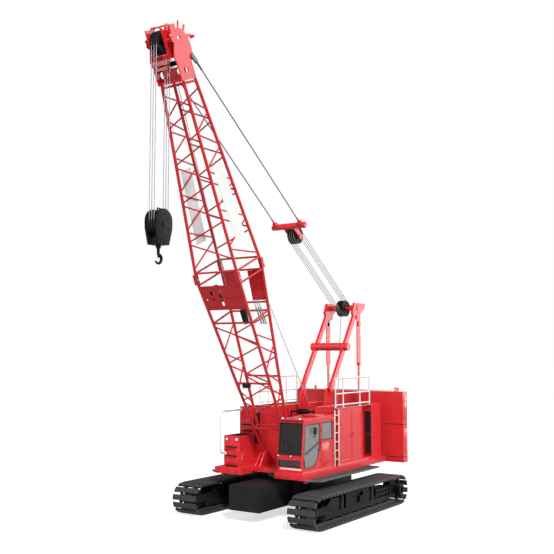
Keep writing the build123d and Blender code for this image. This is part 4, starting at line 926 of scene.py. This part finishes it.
bm = bmesh.new()
doorPoints = [(1331, 1555), (1835, 1555), (1850, 1860), (1745, 2810), (935, 2810), (935, 2200),
              (1025, 1820), (1201, 1620)]
addFrame(bm, [(x, sideY, z) for x, z in doorPoints], (0, 1, 0), 5, 22)
addTube(bm, (985, 1499, 2250), (1760, 1499, 1960), 14, 10)
addBox(bm, (905, sideY, 1990), (1010, 1512, 2050), 5)
addPipe(bm, [(915, sideY, 2080), (915, 1519, 2080), (915, 1519, 2320), (915, sideY, 2320)], 9)
finishPiece("doorTrim", bm, blackPlastic, "cab_door")

bm = bmesh.new()
# the quarter pane takes the same pale side glass, a painted reflection
addBox(bm, (202, 1474, 2302), (808, 1480, 2818), 1, 1)
finishPiece("quarterPane", bm, sideGlassPaintedReflection, "upper")

bm = bmesh.new()
# mirror on an arm outside the door glass
addPipe(bm, [(1290, 1500, 2430), (1290, 1556, 2450), (1290, 1556, 2560)], 9)
addBox(bm, (1250, 1512, 2520), (1330, 1600, 2720), 12)
finishPiece("doorMirror", bm, blackPlastic, "cab_door")
bm = bmesh.new()
# small mirror above the windscreen
addPipe(bm, [(1700, 700, 2960), (1790, 680, 2975), (1790, 640, 2850)], 8)
addBox(bm, (1770, 560, 2700), (1800, 680, 2880), 12)
finishPiece("cabMirrors", bm, blackPlastic, "upper")

bm = bmesh.new()
# lenses of the two lamps and the work lights under the roof
for y in (700, 1140):
    addTube(bm, (2012, y, 1910), (2024, y, 1910), 24, 20, 20)
for y in (760, 1370):
    addTube(bm, (frontX(2900) - 20, y, 2985), (frontX(2900) + 12, y, 2978), 38, 20, 34)
for y in (-1380, -1000):
    addTube(bm, (1782, y, 2250), (1796, y, 2250), 42, 20, 38)
finishPiece("lampLenses", bm, lampLens, "upper")
bm = bmesh.new()
for y in (760, 1370):
    addTube(bm, (frontX(2900) - 95, y, 2996), (frontX(2900) - 16, y, 2984), 34, 20, 44)
    addBox(bm, (frontX(2900) - 80, y - 14, 2945), (frontX(2900) - 40, y + 14, 2985), 4)
for y in (-1380, -1000):
    addTube(bm, (1778, y, 2250), (1786, y, 2250), 52, 24, 48)
finishPiece("lampHousings", bm, blackPaint, "upper")
bm = bmesh.new()
# light strip on the cab's lower front edge
addBox(bm, (frontX(1520) - 4, 720, 1500), (frontX(1520) + 8, 1460, 1548), 6)
finishPiece("cabStrip", bm, whitePaint, "upper")

bm = bmesh.new()
# rolled roof edges and the joints of the cab's panels
for y in (646, 1487):
    addTube(bm, (110, y, 3010), (1745, y, 2946), 12, 12)
addTube(bm, (104, 660, 3012), (104, 1474, 3012), 12, 12)
addBox(bm, (300, 800, 2990), (900, 1330, 3040), 14)
addBox(bm, (420, sideY, 1480), (840, 1499, 2200), 4)
for k in range(6):
    addBolt(bm, (200 + 130 * k, sideY, 1462), (0, 1, 0), 10, 7)
finishPiece("cabEdges", bm, redPaint, "upper")

bm = bmesh.new()
# seen through the glass: armrests, levers, a ribbed seat back, a screen and pedals
for y in (860, 1275):
    addBox(bm, (640, y - 35, 2090), (1010, y + 35, 2140), 14)
    addTube(bm, (980, y, 2140), (1000, y, 2290), 10, 10)
    addBall(bm, (1000, y, 2300), 24)
for k in range(5):
    addBox(bm, (560 - 16 * k, 870, 2010 + 92 * k), (600 - 16 * k, 1262, 2090 + 92 * k), 18)
addBox(bm, (480, 960, 2480), (560, 1170, 2640), 30)
addBox(bm, (1560, 740, 2120), (1600, 1000, 2330), 10)
for y in (1010, 1090, 1170):
    addTube(bm, (1560, y, 1480), (1640, y, 1640), 12, 10)
    addBox(bm, (1620, y - 30, 1620), (1680, y + 30, 1690), 8)
finishPiece("cabInside", bm, wovenSeat, "upper")
print("cab done")

# houses: door seams, latches, roof lips, lifting eyes and panels
house = {"outY": 1493, "inY": 650, "rearX": -3118, "roofZ": 3196,
         "doors": (("front", -1065, -201), ("rear", -1734, -1075))}
for name, x0, x1 in house["doors"]:
    bm = bmesh.new()
    y = house["outY"]
    corners = [(x0 + 30, y, 1540), (x1 - 30, y, 1540), (x1 - 30, y, 3090), (x0 + 30, y, 3090)]
    for k in range(4):
        addTube(bm, corners[k], corners[(k + 1) % 4], 9, 8)
    latchX = x0 + 70 if name == "front" else x1 - 70
    addBox(bm, (latchX - 28, y, 2240), (latchX + 28, y + 12, 2420), 5)
    addPipe(bm, [(latchX, y + d, z) for d, z in ((10, 2270), (30, 2290), (30, 2370), (10, 2390))], 8)
    finishPiece("doorLips_" + name, bm, redPaint, "house_door_" + name)
bm = bmesh.new()
for side, front in ((1, -170), (-1, 950)):
    outY, z = side * house["outY"], house["roofZ"]
    y0, y1 = sorted((side * house["inY"], outY))
    for y in (outY - side * 8, side * (house["inY"] + 8)):
        addTube(bm, (house["rearX"], y, z), (front - 4, y, z), 14, 12)
    for x in (front - 6, house["rearX"] + 4):
        addDisc(bm, (x, y0 + 12, z), y1 - y0 - 24, 14, 12)
    for x in (-2900, -400):
        addEye(bm, (x, side * 1080, 3226), 26, 44, 9)
    for k in range(12):
        addBolt(bm, (-3060 + 240 * k, outY, 1456), (0, side, 0), 9, 7)
# recess edge
for x in (-2450, -1780):
    addTube(bm, (x, 1489, 1500), (x, 1489, 3195), 12, 10)
# panels on the right house
for x0, x1 in ((-2980, -2120), (-2060, -1200), (-1140, -280), (-220, 860)):
    addBox(bm, (x0, -1500, 1520), (x1, -1493, 3120), 5)
addBox(bm, (949, -1440, 2420), (955, -700, 3130), 4)
addBox(bm, (1000, -1499, 1500), (1730, -1493, 2300), 5)
addBox(bm, (1779, -1450, 1480), (1785, -930, 1960), 4)
finishPiece("houseEdges", bm, redPaint, "upper")

bm = bmesh.new()
# dark treads, air slots and door latches
treads = ((1000, 1740, -1440, -930, 2360), (300, 900, -1440, -700, 3200), (-2900, -300, -1440, -1180, 3200),
          (-2900, -300, 1180, 1440, 3200))
for x0, x1, y0, y1, z in treads:
    count = max(2, int((y1 - y0) / 60))
    for k in range(count):
        y = y0 + (k + 0.5) * (y1 - y0) / count
        addBox(bm, (x0, y - 12, z - 1), (x1, y + 12, z + 7), 2, 1)
for z in (1452, 1748, 2018):
    addBox(bm, (1784, -1400, z - 14), (1846, -980, z + 14), 5)
for z in (2450, 2650):
    addBox(bm, (954, -1400, z - 14), (1016, -1000, z + 14), 5)
addBox(bm, (949, -930, 2080), (962, -690, 3040), 6)
for k in range(11):
    z = 2110 + 84 * k
    addBox(bm, (960, -915, z), (974, -705, z + 40), 3, 1)
# louvred panel deep between cab and house
addBox(bm, (-172, 660, 1432), (92, 700, 2960), 4)
for k in range(18):
    z = 1480 + 80 * k
    addBox(bm, (-160, 696, z), (80, 716, z + 46), 4, 1)
# cross shaft over the winches with its air cleaner, as y, reach, radius, sides and end radius
for y in (-490, 490):
    addBox(bm, (-590, y - 16, 2400), (-530, y + 16, 3040), 5)
shaft = ((-500, 1000, 30, 20, 30), (-190, 320, 96, 28, 96), (-230, 40, 70, 28, 96), (130, 40, 96, 28, 70),
         (390, 50, 84, 28, 84))
for y, reach, r, sides, end in shaft:
    addDisc(bm, (-560, y, 3010), reach, r, sides, end)
# shadow lines at the counterweight's seams
for z in (1380, 2480):
    for side in (-1, 1):
        addSideBox(bm, side, (-3840, 2100, z - 4), (-3497, 2163, z + 14), 1, 1)
        addSideBox(bm, side, (-3540, 1500, z - 4), (-3496, 2160, z + 14), 1, 1)
for x in (-2550, -1630, -710):
    addBox(bm, (x - 24, -1512, 2260), (x + 24, -1499, 2420), 4)
for x in (-2700, -1760, -840):
    for k in range(8):
        addBox(bm, (x - 260, -1506, 2640 + 46 * k), (x + 260, -1499, 2660 + 46 * k), 2, 1)
finishPiece("treadsAndSlots", bm, blackPaint, "upper")

# walkways: grating bars both ways, shorter where the front corner is cut off
bm = bmesh.new()
for side in (-1, 1):
    for k in range(60):
        x = -1930 + k * 62
        addSideBox(bm, side, (x - 4, 1625, 1238), (x + 4, 2020 - max(0, x - 1700), 1252), 1, 1)
    for y in (1630, 1760, 1890, 2016):
        addBox(bm, (-1945, side * y - 4, 1238), (1700, side * y + 4, 1250), 1, 1)
finishPiece("walkGrating", bm, walkSteel, "upper")

# decks: front edges, tie-down eyes and bolts
bm = bmesh.new()
for side, front in ((1, 2060), (-1, 2100)):
    addSideBox(bm, side, (front, 620, 1262), (front + 7, 1600, 1408), 4)
    for y in (side * 760, side * 1110, side * 1460):
        addEye(bm, (front + 34, y, 1335), 24, 40, 8)
    for k in range(14):
        x = -3100 + k * 380
        if x < front - 60:
            addBolt(bm, (x, side * 1610, 1335), (0, side, 0), 12, 9)
finishPiece("deckFittings", bm, redPaint, "upper")

# rails on both houses, and the bent rail in front of the right one, as round pipe
rails = {"y": 1448, "top": 4120, "bottom": 3200, "posts": (-110, -600, -1720, -2400), "r": 22}
bm = bmesh.new()
for side in (-1, 1):
    y = side * rails["y"]
    for z in (rails["top"], 3640, 3290):
        addTube(bm, (-2400, y, z), (-110, y, z), rails["r"], 16)
    for x in rails["posts"]:
        addTube(bm, (x, y, rails["bottom"]), (x, y, rails["top"]), rails["r"], 16)
        addBall(bm, (x, y, rails["top"]), rails["r"])
        addTube(bm, (x, y, rails["bottom"]), (x, y, rails["bottom"] + 16), 48, 16)
portal = [(1780, 1810), (1880, 1810), (1985, 1855), (2030, 1960), (2030, 2960), (1985, 3065),
          (1880, 3110), (950, 3110)]
addPipe(bm, [(x, -rails["y"], z) for x, z in portal], 30, 16)
for x0, x1, z in ((952, 968, 3110), (1782, 1796, 1810)):
    addTube(bm, (x0, -rails["y"], z), (x1, -rails["y"], z), 54, 20)
finishPiece("roundRails", bm, whitePaint, "upper", ["handrails"])

bm = bmesh.new()
ladderY = 1538
for x in (-150, 100):
    addBox(bm, (x - 18, ladderY - 12, 1430), (x + 18, ladderY + 12, 3150), 4)
for k in range(6):
    z = 1640 + k * 270
    addTube(bm, (-150, ladderY, z), (100, ladderY, z), 14, 12)
    for x in (-118, 68):
        addTube(bm, (x - 10, ladderY, z), (x + 10, ladderY, z), 18, 12)
for z in (1850, 2910):
    addBox(bm, (100, 1493, z - 20), (118, ladderY, z + 20), 3)
finishPiece("accessLadder", bm, whitePaint, "upper", ["ladder"])

# counterweight: lift eyes, raised side panels and pins
weight = {"sideY": 2160, "slabs": (1930, 3030), "panel": 420}
bm = bmesh.new()
for x, y in ((-3660, 1900), (-4020, 1640)):
    for side in (-1, 1):
        addEye(bm, (x, side * y, 3664), 32, 58, 15, 24)
for side in (-1, 1):
    y = weight["sideY"]
    for z in weight["slabs"]:
        addSideBox(bm, side, (-3760, y, z - weight["panel"]), (-3560, y + 6, z + weight["panel"]), 4)
        for rise in (250, -250):
            addDisc(bm, (-3660, side * y, z + rise), side * 12, 46, 24, 42)
for z in (1385, 2485):
    for side in (-1, 1):
        addTube(bm, (-3510, side * 1400, z), (-3486, side * 1400, z), 30, 16)
finishPiece("weightFittings", bm, redPaint, "upper")

# gantry: pin caps and bolts
bm = bmesh.new()
for side in (-1, 1):
    for x, z, r in ((-3220, 6500, 96), (-3215, 5950, 70), (-1300, 3680, 84)):
        y = side * 600
        addDisc(bm, (x, y, z), side * 22, r, 28, r - 5)
        boltCircle(bm, (x, y + side * 20, z), r - 20, 6, side, 9, 9)
    for k in range(5):
        x = -3650 + k * 180
        addBolt(bm, (x, side * 600, 6620), (0, side, 0), 12, 10)
finishPiece("gantryPins", bm, redPaint, "upper")
print("upper works done")

# stage, light and camera
studio = {"floor": 60.0, "sky": 0.42, "glow": 3.8, "floorColour": (0.55, 0.55, 0.55)}
bm = bmesh.new()
bmesh.ops.create_grid(bm, x_segments=1, y_segments=1, size=studio["floor"])
floorMesh = bpy.data.meshes.new("floor")
bm.to_mesh(floorMesh)
bm.free()
floor = bpy.data.objects.new("floor", floorMesh)
scene.collection.objects.link(floor)
floorMat, tree, floorShader = newMaterial("paleFloor")
floorShader.inputs["Base Color"].default_value = (*studio["floorColour"], 1)
floorShader.inputs["Roughness"].default_value = 0.9
floorShader.inputs["Specular IOR Level"].default_value = 0.1
floorShader.inputs["Emission Color"].default_value = (1, 1, 1, 1)
path = addNode(tree, "LightPath")
lift = addNode(tree, "Math", operation="MULTIPLY")
lift.inputs[1].default_value = 0.66
tree.links.new(path.outputs["Is Camera Ray"], lift.inputs[0])
tree.links.new(lift.outputs[0], floorShader.inputs["Emission Strength"])
floorMesh.materials.append(floorMat)

# white behind the object, soft light all round, and a bright wall at the rear left
world = bpy.data.worlds.new("studio")
scene.world = world
world.use_nodes = True
tree = world.node_tree
ground = tree.nodes["Background"]
ground.inputs["Color"].default_value = (1, 1, 1, 1)
path = addNode(tree, "LightPath")
coord = addNode(tree, "TexCoord")
aim = addNode(tree, "VectorMath", operation="DOT_PRODUCT")
aim.inputs[1].default_value = (-0.83, 0.55, 0.05)
tree.links.new(coord.outputs["Generated"], aim.inputs[0])
wall = addNode(tree, "MapRange", interpolation_type="SMOOTHSTEP",
               **{"From Min": 0.35, "From Max": 0.9, "To Min": 0.1, "To Max": studio["glow"]})
tree.links.new(aim.outputs["Value"], wall.inputs["Value"])
pick = addNode(tree, "Mix")
pick.inputs["A"].default_value = studio["sky"]
tree.links.new(path.outputs["Is Glossy Ray"], pick.inputs["Factor"])
tree.links.new(wall.outputs[0], pick.inputs["B"])
white = addNode(tree, "Mix")
white.inputs["B"].default_value = 1.0
seen = addNode(tree, "Math", operation="MAXIMUM")
wire(tree, (path.outputs["Is Camera Ray"], seen.inputs[0]),
     (path.outputs["Is Transmission Ray"], seen.inputs[1]), (seen.outputs[0], white.inputs["Factor"]),
     (pick.outputs[0], white.inputs["A"]), (white.outputs[0], ground.inputs["Strength"]))


def addSun(name, power, angle, tilt, turn):
    light = bpy.data.lights.new(name, "SUN")
    light.energy = power
    light.angle = radians(angle)
    obj = bpy.data.objects.new(name, light)
    obj.rotation_euler = (radians(tilt), 0, radians(turn))
    scene.collection.objects.link(obj)


addSun("keyLight", 3.3, 14, 47, 143)
addSun("fillLight", 0.6, 40, 62, 75)

camData = bpy.data.cameras.new("camera")
camera = bpy.data.objects.new("camera", camData)
scene.collection.objects.link(camera)
scene.camera = camera
view = {"place": (21.5107, 14.572, 4.973), "yaw": 213.80, "pitch": 5.12, "focal": 831.145}
camera.location = view["place"]
camera.rotation_euler = (radians(90 + view["pitch"]), 0, radians(view["yaw"] - 90))
camData.sensor_width = 36.0
camData.lens = view["focal"] / 554 * 36
camData.clip_end = 200
scene.view_settings.view_transform = "Standard"
print("stage ready")
